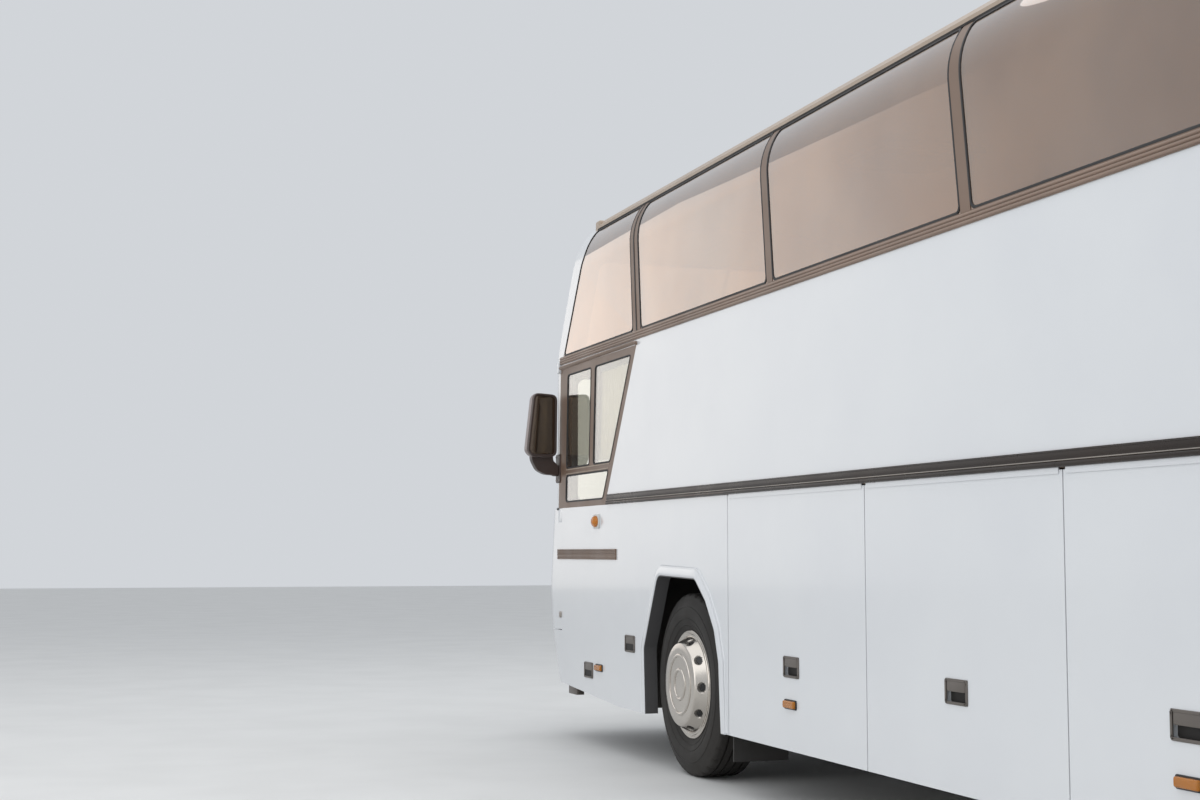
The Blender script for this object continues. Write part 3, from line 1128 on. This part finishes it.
def mirror_shapes(rear):
    """Shapes of one mirror on the left side: shell, glass, cover, arm with both its ends, and bolt heads."""
    middle = rear - MIRROR_DEEP / 2
    bend = [(1.4, middle, 1.985), (1.4, middle, 1.862), (1.262, middle, 1.858), (1.236, middle, 1.858)]
    arm = swept(round_bar(0.0165, 16), softened(bend, 0.095, steps=12), Y)
    saddle = placed(plate(foot_line, 0.076, 0.014), (0, middle + 0.038, 0), X, Z, FORE)
    cup = placed(plate(rounded(0.062, 0.062, 0.03, 8), 0.052, 0.022), (1.256, middle, 1.858), Y, Z, X)
    socket = placed(plate(rounded(0.056, 0.056, 0.027, 8), 0.03, 0.01), (1.4, middle, 1.973), X, FORE, (0, 0, -1))
    foot_y = middle + 0.0125
    foot = on_side(slab(0.098, 0.204, 0.018, 0.009, 0.003), foot_y, MIRROR_FOOT_Z, HALF - 0.001)
    heads = [on_side(dome(0.014, 0.014, 0.006, 4, 12), foot_y + dy, MIRROR_FOOT_Z + dz, HALF + 0.008)
             for dy in (-0.034, 0.034) for dz in (-0.082, 0.082)]
    bodies = [stations(mirror_line, rear, rows) for rows in (SHELL_ROWS, GLASS_ROWS, COVER_ROWS)]
    return [*bodies, together(arm, saddle, cup, socket, foot), together(*heads)]


shells, glasses, covers, arms, bolts = (together(left, mirrored(right)) for left, right in zip(
    mirror_shapes(MIRROR_REAR), mirror_shapes(MIRROR_REAR - RIGHT_AHEAD)))
housings = put("mirror_housings", shells, "mirror_shell")
put("mirror_glasses", glasses, "mirror_glass", sharp=60)
put("mirror_covers", covers, "mirror_back")
put("mirror_arms", arms, "mirror_shell")
put("mirror_bolts", bolts, "brush_metal", slot="wheel_steel")
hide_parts("mirrors")

# %% [markdown]
# The front. Lamps, grille ring, wipers and seals all sit on bowed and leaning skin, so each one is drawn flat and
# then put on the surface by its tangents there: across, up, and straight out.

# %% Placing on the nose, the screens and the tail
def on_skin(shape, skin_y, x, z, proud=0.0):
    """Flat shape put on a front surface y(x, z), squared up to the surface at that point."""
    step = 1e-3
    across = np.array([2 * step, float(skin_y(x + step, z) - skin_y(x - step, z)), 0.0])
    upward = np.array([0.0, float(skin_y(x, z + step) - skin_y(x, z - step)), 2 * step])
    out = np.cross(across, upward)
    out /= np.linalg.norm(out)
    across /= np.linalg.norm(across)
    origin = np.array([x, float(skin_y(x, z)), z]) + proud * out
    return placed(shape, origin, across, np.cross(out, across), out)


def over(skin_y, line, proud=0.0):
    """(x, z) line as a path at a distance in front of a surface y(x, z)."""
    return np.column_stack([line[:, 0], skin_y(line[:, 0], line[:, 1]) - proud, line[:, 1]])


def loop_on(skin_y, outline, centre, profile):
    """Closed strip that follows an (x, z) outline on a front surface."""
    return swept(profile, over(skin_y, denser(outline + centre, 0.05, closed=True)), FORE, closed=True)


TAIL_LEAN = 0.16


def tail_y(x, z):
    """Skin of the tail: upright to the waist, leaning in above it."""
    return TAIL - TAIL_LEAN * np.maximum(np.asarray(z, float) - WAIST_TOP, 0) + 0.0 * np.asarray(x, float)


def to_rear(shape, origin):
    """Flat shape put at a point, facing straight to the rear."""
    return placed(shape, origin, (-1, 0, 0), Z, Y)


def on_tail(shape, x, z, proud=0.0):
    """Flat shape put on the skin of the tail."""
    return to_rear(shape, (x, float(tail_y(x, z)) + proud, z))


# %% A turned form and a lamp reflector
def lathe(profile, count=32):
    """Profile of (radius, w) points turned about the w direction."""
    profile = np.asarray(profile, float)
    angle = full_turn(count)
    points = np.stack([profile[:, :1] * np.cos(angle), profile[:, :1] * np.sin(angle),
                       np.broadcast_to(profile[:, 1:], (len(profile), count))], axis=-1)
    return surface(points, wrap_v=True)


def bowl(radius, depth):
    """Lamp reflector: a hollow paraboloid with a rolled rim and a closed back."""
    r = np.linspace(0, radius, 9)
    inner = np.column_stack([r, -depth * (1 - (r / radius) ** 2)])
    back, edge = -depth - 0.006, radius + 0.006
    rim = [(radius + 0.002, 0.003), (radius + 0.005, 0.003), (edge, 0.0), (edge, back), (0.0, back)]
    return lathe(np.vstack([inner, rim]))


# %% Head and fog lamps behind their lenses
LENS = 0.047
HEAD_Z, FOG_Z = 0.87, 0.545
spots = ((0.772, HEAD_Z, 0.062), (0.915, HEAD_Z, 0.062), (1.02, HEAD_Z, 0.03), (0.85, FOG_Z, 0.036))
bulb = lathe([(0.0, -0.03), (0.008, -0.03), (0.009, -0.018), (0.006, -0.01), (0.0, -0.008)], 16)
bowls = [on_skin(bowl(radius, radius * 0.75), nose_y, x, z, -LENS) for x, z, radius in spots]
amber_cells = [bowls.pop(2)]
bulbs = [on_skin(bulb, nose_y, x, z, -LENS) for x, z, _ in spots]
backs = [on_skin(slab(width, height, 0.03, 0.004, 0.001), nose_y, x, z, -LENS - 0.012)
         for x, z, width, height in ((0.88, HEAD_Z, 0.372, 0.172), (0.85, FOG_Z, 0.192, 0.102))]
put("lamp_bowls", both_sides(*bowls), "reflector")
put("lamp_bulbs", both_sides(*bulbs), "lamp_white")
put("lamp_amber_cells", both_sides(*amber_cells), "lamp_amber")
put("lamp_backs", both_sides(*backs), "recess_dark", slot="lamp_clear")

# %% Seals of the screens, rings round grille and lamps, bumper strip and blank plate
FLAT_STRIP = even_profile((-0.002, 0.011), (0.003, 0.011), (0.005, 0.006))
screens = [loop_on(screen_y, rounded(2.1, 0.917, 0.07), (0, 2.1005), FLAT_STRIP),
           loop_on(screen_y, rounded(2.02, 0.629, 0.07), (0, 3.0455), FLAT_STRIP)]
for z0, z1 in ((1.65, 2.552), (2.738, 3.353)):
    z = np.linspace(z0, z1, 8)
    screens.append(swept(FLAT_STRIP, over(screen_y, np.column_stack([0 * z, z])), FORE))
put("screen_seals", screens, "seal_rubber")
put("grille_ring", loop_on(nose_y, rounded(1.134, 0.214, 0.034), (0, 0.9), FLAT_STRIP), "brush_metal")
lamp_rings = [loop_on(nose_y, rounded(0.368, 0.168, 0.042), (0.88, HEAD_Z), round_bar(0.006, 8)),
              loop_on(nose_y, rounded(0.188, 0.098, 0.032), (0.85, FOG_Z), round_bar(0.006, 8))]
put("lamp_rings", both_sides(*lamp_rings), "seal_rubber")
x = np.linspace(-0.96, 0.96, 25)
strip = swept(even_profile((-0.002, 0.016), (0.008, 0.016), (0.013, 0.008)),
              over(nose_y, np.column_stack([x, np.full(25, 0.7)])), FORE)
put("bumper_strip", strip, "seal_rubber", slot="flap_rubber")
put("front_plate", together(on_skin(slab(0.53, 0.12, 0.01, 0.006, 0.002), nose_y, 0.0, 0.61),
                            on_skin(slab(0.514, 0.104, 0.008, 0.003, 0.001), nose_y, 0.0, 0.61, 0.006)),
    "plate_blank")

# %% Seal under the lower screen, from side to side, and the cover of its corner
SILL_Z = 1.5935
CORNER_R = 0.2
CORNER_Y = -5.567
CORNER_TURN = math.radians(74)
turn = np.linspace(0, CORNER_TURN, 10)
corner = np.column_stack([HALF - CORNER_R * (1 - np.cos(turn)), CORNER_Y - CORNER_R * np.sin(turn)])
corner_out = np.column_stack([np.cos(turn), -np.sin(turn)])
x = np.linspace(1.09, -1.09, 23)
sill = np.vstack([corner, np.column_stack([x, screen_y(x, WAIST_Z)]), corner[::-1] * [-1, 1]])
outward = np.vstack([corner_out, np.tile([0.0, -1.0], (23, 1)), corner_out[::-1] * [-1, 1]])
put("sill_seal", swept(even_profile((-0.03, 0.0085), (0.002, 0.0085), (0.005, 0.004)),
                       np.insert(sill, 2, SILL_Z, axis=1), np.insert(outward, 2, 0.0, axis=1)), "seal_rubber")
put("corner_cover", on_side(slab(0.092, 0.098, 0.004, 0.0205, 0.001), -5.5265, 1.5475, HALF - 0.02), "body_white")

# %% Wipers
pivot_cap = lathe([(0.0, 0.0), (0.026, 0.0), (0.026, 0.02), (0.018, 0.03), (0.0, 0.032)], 20)
rubber = [(-0.01, -0.002), (0.002, -0.006), (0.006, 0.0), (0.002, 0.006), (-0.01, 0.002)]
wiper_parts = []
for pivot, elbow, blade in (((0.66, 1.622), (0.3, 1.742), ((0.72, 1.69), (-0.1, 1.79))),
                            ((-0.3, 1.622), (-0.62, 1.742), ((-0.2, 1.69), (-0.96, 1.79)))):
    wiper_parts += [on_skin(pivot_cap, screen_y, *pivot, -0.004),
                    swept(even_profile((-0.003, 0.009), (0.003, 0.009)),
                          over(screen_y, denser([pivot, elbow], 0.06), 0.024), FORE),
                    swept(rubber, over(screen_y, denser(blade, 0.06), 0.012), FORE)]
put("wipers", wiper_parts, "seal_rubber")

# %% Front markers and small corner parts
def box_shape(low, high, edge=0.002):
    """Block between two corners, its upper edges (towards +Z) lightly rounded."""
    low, high = np.asarray(low, float), np.asarray(high, float)
    size = high - low
    outline = rounded(size[0], size[1], min(edge, size[0] / 3, size[1] / 3), 3)
    solid = plate(outline, size[2], min(edge, size[2] / 3))
    return moved(solid, (low + high) / 2 * [1, 1, 0] + [0, 0, low[2]])


marks = [on_skin(slab(0.09, 0.03, 0.01, 0.014, 0.006), screen_y, x, 2.701) for x in (-0.96, 0.96)]
put("front_markers", marks, "lamp_white")
put("corner_trim", on_side(slab(0.034, 0.042, 0.008, 0.01, 0.003), -5.505, 0.85), "brush_metal")
put("corner_bracket", box_shape((1.15, -5.46, 0.305), (1.2055, -5.27, 0.42), 0.006), "dark_metal",
    slot="frame_paint")

# %% [markdown]
# The tail. Each lamp block gets four moulded cells, the lid gets its louvre blades and latches, and the window
# its seal. The number plate stays blank. Each form is drawn once, flat, and a loop puts it in its places.

# %% Lamp cells at the tail
TAIL_LAMP_X = 1.0
cell = slab(0.116, 0.118, 0.026, 0.01, 0.005)
for kind, levels in (("lamp_white", [0.968]), ("lamp_red", [1.105, 1.242]), ("lamp_amber", [1.38])):
    cells = [on_tail(cell, TAIL_LAMP_X, z, 0.0115) for z in levels]
    put("tail_cells_" + kind, both_sides(*cells), kind, slot="lamp_red")
lamp_rim = on_tail(ring_plate(rounded(0.15, 0.562, 0.02), 0.01, 0.014, 0.003), TAIL_LAMP_X, 1.175)
put("tail_lamp_rings", both_sides(lamp_rim), "seal_rubber", slot="lamp_red")

# %% Louvres and latches of the engine lid
LOUVRE_Z = 0.855
LOUVRE_STEP = 0.07
blade = [(-0.018, 0.0105), (0.019, -0.0125), (0.019, -0.0095), (-0.018, 0.0135)]
blades = [swept(blade, [(0.058, 5.9505, z), (0.762, 5.9505, z)], Y) for z in LOUVRE_Z + LOUVRE_STEP * np.arange(7)]
put("lid_louvres", both_sides(*blades), "recess_dark", "rear_lid", slot="body_white")
put_latch(("lid_latches", "lid_latch_spaces"),
          [both_sides(on_tail(shape, 0.56, 0.765)) for shape in latch(0.15, 0.076)], "rear_lid")

# %% Rear window seal, blank plate, reflectors and bumper strip
rim_line = softened([(-0.88, 2.76), (0.88, 2.76), (0.82, 3.33), (-0.82, 3.33)], 0.07, closed=True)
rim_path = over(tail_y, denser(rim_line, 0.06, closed=True))
put("rear_window_seal", swept(FLAT_STRIP, rim_path, Y, closed=True), "seal_rubber")
put("rear_plate", together(to_rear(slab(0.53, 0.12, 0.008, 0.006, 0.001), (0.0, 6.0, 0.6)),
                           to_rear(slab(0.514, 0.104, 0.008, 0.003, 0.001), (0.0, 6.006, 0.6))), "plate_blank")
disc = lathe([(0.0, 0.0), (0.036, 0.0), (0.036, 0.006), (0.032, 0.009), (0.0, 0.01)])
bumper_discs = to_rear(disc, (0.96, 6.0, 0.44))
top_marks = on_tail(slab(0.1, 0.034, 0.012, 0.014, 0.006), 0.93, 3.38)
stop_lamp = on_tail(slab(0.42, 0.032, 0.012, 0.014, 0.005), 0.0, 2.708)
put("rear_reflectors", together(both_sides(bumper_discs, top_marks), stop_lamp), "lamp_red")
rear_strip = swept(even_profile((-0.002, 0.014), (0.008, 0.014), (0.012, 0.007)),
                   [(-1.09, 5.998, 0.692), (1.09, 5.998, 0.692)], Y)
put("rear_bumper_strip", rear_strip, "seal_rubber", slot="flap_rubber")

# %% [markdown]
# The roof. The unit over the middle has two rows of fan guards and a grille along each side; each hatch lid is
# ribbed and rests on a rubber gasket that stays on its curb when the lid opens. One guard is enough for all six
# fans, since copies cost no work.

# %% Fan guards and unit grilles
def repeated(shape, offsets):
    """Copies of a shape, each moved by its own offset."""
    points, faces = shape
    offsets = np.asarray(offsets, float)
    past = np.arange(len(offsets))[:, None, None] * len(points)
    return ((points[None] + offsets[:, None]).reshape(-1, 3),
            [(f[None] + past).reshape(-1, f.shape[1]) for f in faces])


UNIT_TOP = 3.77
GUARD_R = 0.19
guard = lathe([(0.0, 0.0), (GUARD_R, 0.0), (GUARD_R, 0.004), (0.0, 0.005)], 36)
rings = [lathe([(r - 0.003, 0.004), (r - 0.003, 0.016), (r + 0.003, 0.016), (r + 0.003, 0.004)], 36)
         for r in (0.045, 0.075, 0.105, 0.135, 0.165)]
rings.append(lathe([(0.182, 0.0), (0.186, 0.02), (0.198, 0.02), (0.204, 0.0)], 36))
bars = [swept(round_bar(0.003, 6), [(side * GUARD_R * math.cos(a), side * GUARD_R * math.sin(a), 0.016)
                                    for side in (-1, 1)], Z) for a in (0.0, math.pi / 3, 2 * math.pi / 3)]
spots = [(x, y, UNIT_TOP) for x in (-0.32, 0.32) for y in (0.36, 0.95, 1.54)]
put("fan_spaces", repeated(guard, spots), "recess_dark", slot="body_white")
put("fan_guards", repeated(together(*rings, *bars), spots), "seal_rubber")
rows = [swept(round_bar(0.004, 8), [(0.701, 0.16, z), (0.701, 1.74, z)], X) for z in (3.64, 3.66, 3.68, 3.7)]
put("unit_grilles", both_sides(*rows), "seal_rubber")

# %% Ribs, knobs and gaskets of the hatches
knob = placed(lathe([(0.0, 0.0), (0.03, 0.0), (0.034, 0.03), (0.026, 0.04), (0.0, 0.042)], 20), (0.0, 0.2, 3.6755),
              X, FORE, (0, 0, -1))
gasket = moved(ring_plate(rounded(0.63, 0.63, 0.04), 0.014, 0.0045, 0.002), (0.0, 0.0, 3.67))
rows = [swept(even_profile((0.0, 0.022), (0.007, 0.014)), [(-0.24, y, 3.7005), (0.24, y, 3.7005)], Z)
        for y in (-0.18, -0.06, 0.06, 0.18)]
for y, word in ((-2.6, "front"), (3.4, "rear")):
    put("hatch_ribs_" + word, moved(together(*rows), (0, y, 0)), "body_white", "roof_hatch_" + word)
    put("hatch_knob_" + word, moved(knob, (0, y, 0)), "seal_rubber", "roof_hatch_" + word)
    put("hatch_gasket_" + word, moved(gasket, (0, y, 0)), "seal_rubber", slot="flap_rubber")

# %% [markdown]
# The entrance door and the inside. The door gets seals and a latch that move with it. Inside are step edges,
# aisle strips, a rail beside the steps, dials and a small screen on the dashboard, and a padded rim on the
# steering wheel. They are seen only through bronze glass, so plain plates and bars are enough.

# %% Door seals and latch
DOOR_Y = -5.11
door_lines = []
for z0, z1 in ((0.7, 1.5495), (1.6445, 2.405)):
    outline = denser(rounded(0.65, z1 - z0, 0.07), 0.06, closed=True)
    door_lines.append(swept(round_bar(0.0065, 8), at_x(SEAL_X, outline + [DOOR_Y, (z0 + z1) / 2]), X, closed=True))
put("door_seals", mirrored(together(*door_lines)), "seal_rubber", "entrance_door")
put_latch(("door_latch", "door_latch_space"),
          [mirrored(on_side(shape, -4.7375, 1.25)) for shape in latch(0.07, 0.16, 0.01)], "entrance_door")

# %% Steps, aisle strips and rail
edges = [box_shape((-0.3, y - 0.001, z - 0.004), (0.3, y + 0.034, z + 0.003))
         for y, z in ((-4.91, 1.1567), (-4.61, 1.3733), (-4.31, 1.59))]
edges += [box_shape((x - 0.001, -5.52, z - 0.004), (x + 0.034, -4.7, z + 0.003))
          for x, z in ((-0.82, 0.655), (-0.52, 0.94))]
put("step_edges", edges, "step_yellow")
strips = box_shape((0.272, -4.26, 1.589), (0.284, 5.64, 1.594))
put("aisle_strips", both_sides(strips), "brush_metal", slot="floor_covering")
rail_path = softened([(-0.5, -4.64, 0.938), (-0.5, -4.64, 1.78), (-0.5, -4.345, 1.98),
                      (-0.5, -4.345, 1.588)], 0.1, steps=8)
put("step_rail", swept(round_bar(0.016, 14), rail_path, X), "brush_metal", slot="dash_plastic")

# %% Dashboard and steering wheel
RIM_R = 0.21
GRIP_R = 0.0188
DASH_UP = np.array([0.0, -0.8321, 0.5547])
DASH_OUT = np.array([0.0, 0.5547, 0.8321])


def on_dash(shape, x):
    """Flat shape put on the sloping face of the dashboard, towards the driver."""
    return placed(shape, (x, -5.42, 1.54), X, DASH_UP, DASH_OUT)


dials, dial_faces = ([on_dash(lathe(profile, 28), x) for x in (0.565, 0.695)] for profile in (
    [(0.046, 0.0), (0.048, 0.01), (0.054, 0.01), (0.058, 0.0)],
    [(0.0, 0.0), (0.05, 0.0), (0.05, 0.003), (0.0, 0.003)]))
hood = on_dash(ring_plate(rounded(0.33, 0.17, 0.06), 0.016, 0.036, 0.006), 0.63)
keys = repeated(on_dash(slab(0.03, 0.022, 0.004, 0.006, 0.002), -0.15), [(0.045 * k, 0.0, 0.0) for k in range(8)])
panel = on_dash(slab(0.2, 0.11, 0.01, 0.008, 0.003), 0.36)
put("dash_parts", together(hood, keys, panel, *dials), "dash_plastic")
put("dial_faces", dial_faces, "plate_blank", slot="dash_plastic")
ring, tube = full_turn(64)[:, None], full_turn(12)[None, :]
reach = RIM_R + GRIP_R * np.cos(tube)
torus = np.stack([reach * np.cos(ring), reach * np.sin(ring), GRIP_R * np.sin(tube) + 0 * ring], axis=-1)
pad = lathe([(0.0, -0.012), (0.07, -0.012), (0.074, 0.004), (0.06, 0.022), (0.0, 0.028)], 32)
wheel_parts = together(surface(torus, wrap_u=True, wrap_v=True), pad)
put("steering_rim", placed(wheel_parts, (0.63, -5.17, 1.62), X, (0, 0.8944, -0.4472), (0, 0.4472, 0.8944)),
    "seal_rubber", slot="dash_plastic")

# %% [markdown]
# Seats. Every cushion and back starts as a plain block. Its skin is remeshed, two sewn channels are pressed in
# and held, and cloth pressure then swells it until the skin is tight. That gives the crown, the drawn-in corners
# and the soft valley at each seam. Drawn by hand, such a crown would be a guess. One cushion and one back are
# enough, because all the rows share them.

# %% Fabric with darker sewn channels
darkened("seat_fabric", "seam", (0.01, 0.012, 0.022))

# %% A pad by cloth pressure
SEAM_X = 0.112
SEAM_DEEP = 0.009
SEAM_HALF = 0.013
SWELL_CAP = 0.026
SWELL_FRAMES = 20
SWELL_FORCE = 4.0
HELD_BACK = 0.55


def evaluated(item):
    """Object as its modifiers leave it."""
    return item.evaluated_get(bpy.context.evaluated_depsgraph_get())


def read(items, key, columns, kind=np.float32):
    """One value of all vertices or loops as an array."""
    values = np.empty(len(items) * (3 if key == "co" else 1), kind)
    items.foreach_get(key, values)
    return values.reshape(-1, columns)


def seam_marks(points, half_width):
    """Bell curves across the coach, one over each of the two sewn channels."""
    return np.exp(-((np.abs(points[:, 0]) - SEAM_X) / half_width) ** 2)


def swollen(name, size, voxel):
    """Block under cloth pressure, its channels and its lower side held; returns the shape and its seam marks."""
    width, depth, height = size
    block_shape = moved(slab(width, depth, 0.045, height, 0.025), (0, 0, -height / 2))
    block = bpy.data.objects.new(name, mesh_of(name, block_shape))
    scene.collection.objects.link(block)
    remesh = block.modifiers.new("skin", "REMESH")
    remesh.mode = "VOXEL"
    remesh.voxel_size = voxel
    block.data = bpy.data.meshes.new_from_object(evaluated(block))
    block.modifiers.clear()
    points = read(block.data.vertices, "co", 3)
    lowness = -points[:, 2] / (height / 2)
    near = seam_marks(points, SEAM_HALF) * (lowness < HELD_BACK)
    points[:, 2] -= SEAM_DEEP * near * (lowness < 0)
    block.data.vertices.foreach_set("co", points.ravel())
    held = block.vertex_groups.new(name="held")
    held.add(np.flatnonzero((lowness > HELD_BACK) | (near > 0.5)).tolist(), 1.0, "REPLACE")
    cloth = block.modifiers.new("pressure", "CLOTH")
    cloth.settings.use_pressure = True
    cloth.settings.uniform_pressure_force = SWELL_FORCE
    cloth.settings.effector_weights.gravity = 0.0
    cloth.settings.vertex_group_mass = "held"
    cloth.point_cache.frame_end = SWELL_FRAMES
    for step in range(1, SWELL_FRAMES + 1):
        scene.frame_set(step)
    shift = read(evaluated(block).to_mesh().vertices, "co", 3) - points
    length = np.linalg.norm(shift, axis=1, keepdims=True)
    points = points + shift * np.minimum(1, SWELL_CAP / np.maximum(length, 1e-9))
    block.modifiers.clear()
    block.data.vertices.foreach_set("co", points.ravel())
    scene.frame_set(1)
    print(name, "swelled by up to", round(float(length.max()) * 1000, 1), "mm, kept to", SWELL_CAP * 1000)
    finer = block.modifiers.new("finer", "SUBSURF")
    finer.levels = finer.render_levels = 1
    skin_mesh = bpy.data.meshes.new_from_object(evaluated(block))
    points = read(skin_mesh.vertices, "co", 3).astype(float)
    corners = read(skin_mesh.loops, "vertex_index", 4, np.int32)
    bpy.data.objects.remove(block)
    return (points, [corners]), seam_marks(points, SEAM_HALF * 0.5) * (points[:, 2] > 0)


# %% All the seats
DECK_Z = 1.59
CAB_FLOOR_Z = 0.94
SEAT_Y = -3.9
SEAT_STEP = 0.78
SEAT_ROWS = 12
BACK_LEAN = math.radians(6.5)
BACK_UP = np.array([0.0, math.sin(BACK_LEAN), math.cos(BACK_LEAN)])
BACK_FORE = np.array([0.0, -math.cos(BACK_LEAN), math.sin(BACK_LEAN)])
BACK_AT = np.array([0.0, 0.452, 0.765])
SHELL_BEHIND = 0.036
LEG_SHARE = 0.72

seat_spots = np.array([(side * x, SEAT_Y + row * SEAT_STEP, DECK_Z) for row in range(SEAT_ROWS) for side in (1, -1)
                       for x in (0.4975, 0.9225)] + [(0.63, -5.01, CAB_FLOOR_Z)])
cushion, cushion_seams = swollen("cushion", (0.372, 0.385, 0.095), 0.036)
back, back_seams = swollen("back", (0.372, 0.56, 0.062), 0.04)
cushion = moved(cushion, (0, 0.205, 0.42))
back = placed(back, BACK_AT, X, BACK_UP, BACK_FORE)
cushions, backs = (
    put(name, repeated(pad, seat_spots), "seat_fabric", attributes={"seam": np.tile(seams, len(seat_spots))},
        keep_faces=True, sharp=180)
    for name, pad, seams in (("seat_cushions", cushion, cushion_seams), ("seat_backs", back, back_seams)))
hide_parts("seats")

# %% Seat frames: pan, back shell, grab handle, armrest and legs
pan = box_shape((-0.2, 0.01, 0.34), (0.2, 0.4, 0.372), 0.006)
shell = placed(slab(0.408, 0.64, 0.05, 0.016, 0.006), BACK_AT - SHELL_BEHIND * BACK_FORE, X, BACK_UP, -BACK_FORE)
handle = swept(round_bar(0.01, 8), softened([BACK_AT + np.array([x, 0, 0]) + up * BACK_UP for x, up in (
    (-0.15, 0.3), (-0.15, 0.35), (0.15, 0.35), (0.15, 0.3))], 0.04, steps=4), Y)
frames = repeated(together(pan, shell, handle), seat_spots)
pairs = seat_spots[:-1].reshape(-1, 2, 3).mean(axis=1)
leg = box_shape((-0.225, 0.12, 0.0), (0.225, 0.36, 0.012), 0.003)
posts_under = [box_shape((x - 0.025, 0.19, 0.01), (x + 0.025, 0.29, 0.342), 0.006) for x in (-0.16, 0.16)]
beam = box_shape((-0.4, 0.18, 0.318), (0.4, 0.3, 0.345), 0.004)
arms = [box_shape((x - 0.018, 0.11, 0.64), (x + 0.018, 0.43, 0.668), 0.008) for x in (-0.416, 0.0, 0.416)]
struts = [box_shape((x - 0.01, 0.34, 0.36), (x + 0.01, 0.38, 0.645), 0.004) for x in (-0.416, 0.416)]
under = repeated(together(leg, *posts_under, beam, *arms, *struts), pairs)
driver = placed(together(leg, *posts_under), seat_spots[-1], (LEG_SHARE, 0, 0), Y, Z)
put("seat_frames", together(frames, under, driver), "seat_shell")
print("seats", len(seat_spots), "cushion faces", len(cushion[1][0]), "back faces", len(back[1][0]))

# %% [markdown]
# Last, the box of everything is measured again and written beside the solids' box. Trim may stand a little proud
# of the solids, but the coach keeps its size.

# %% Both boxes, and the end
low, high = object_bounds()
print("triangles added", sum(made_triangles.values()), "most", max(made_triangles.items(), key=lambda row: row[1]))
print("finished box", [round(v, 3) for v in (*low, *high)])
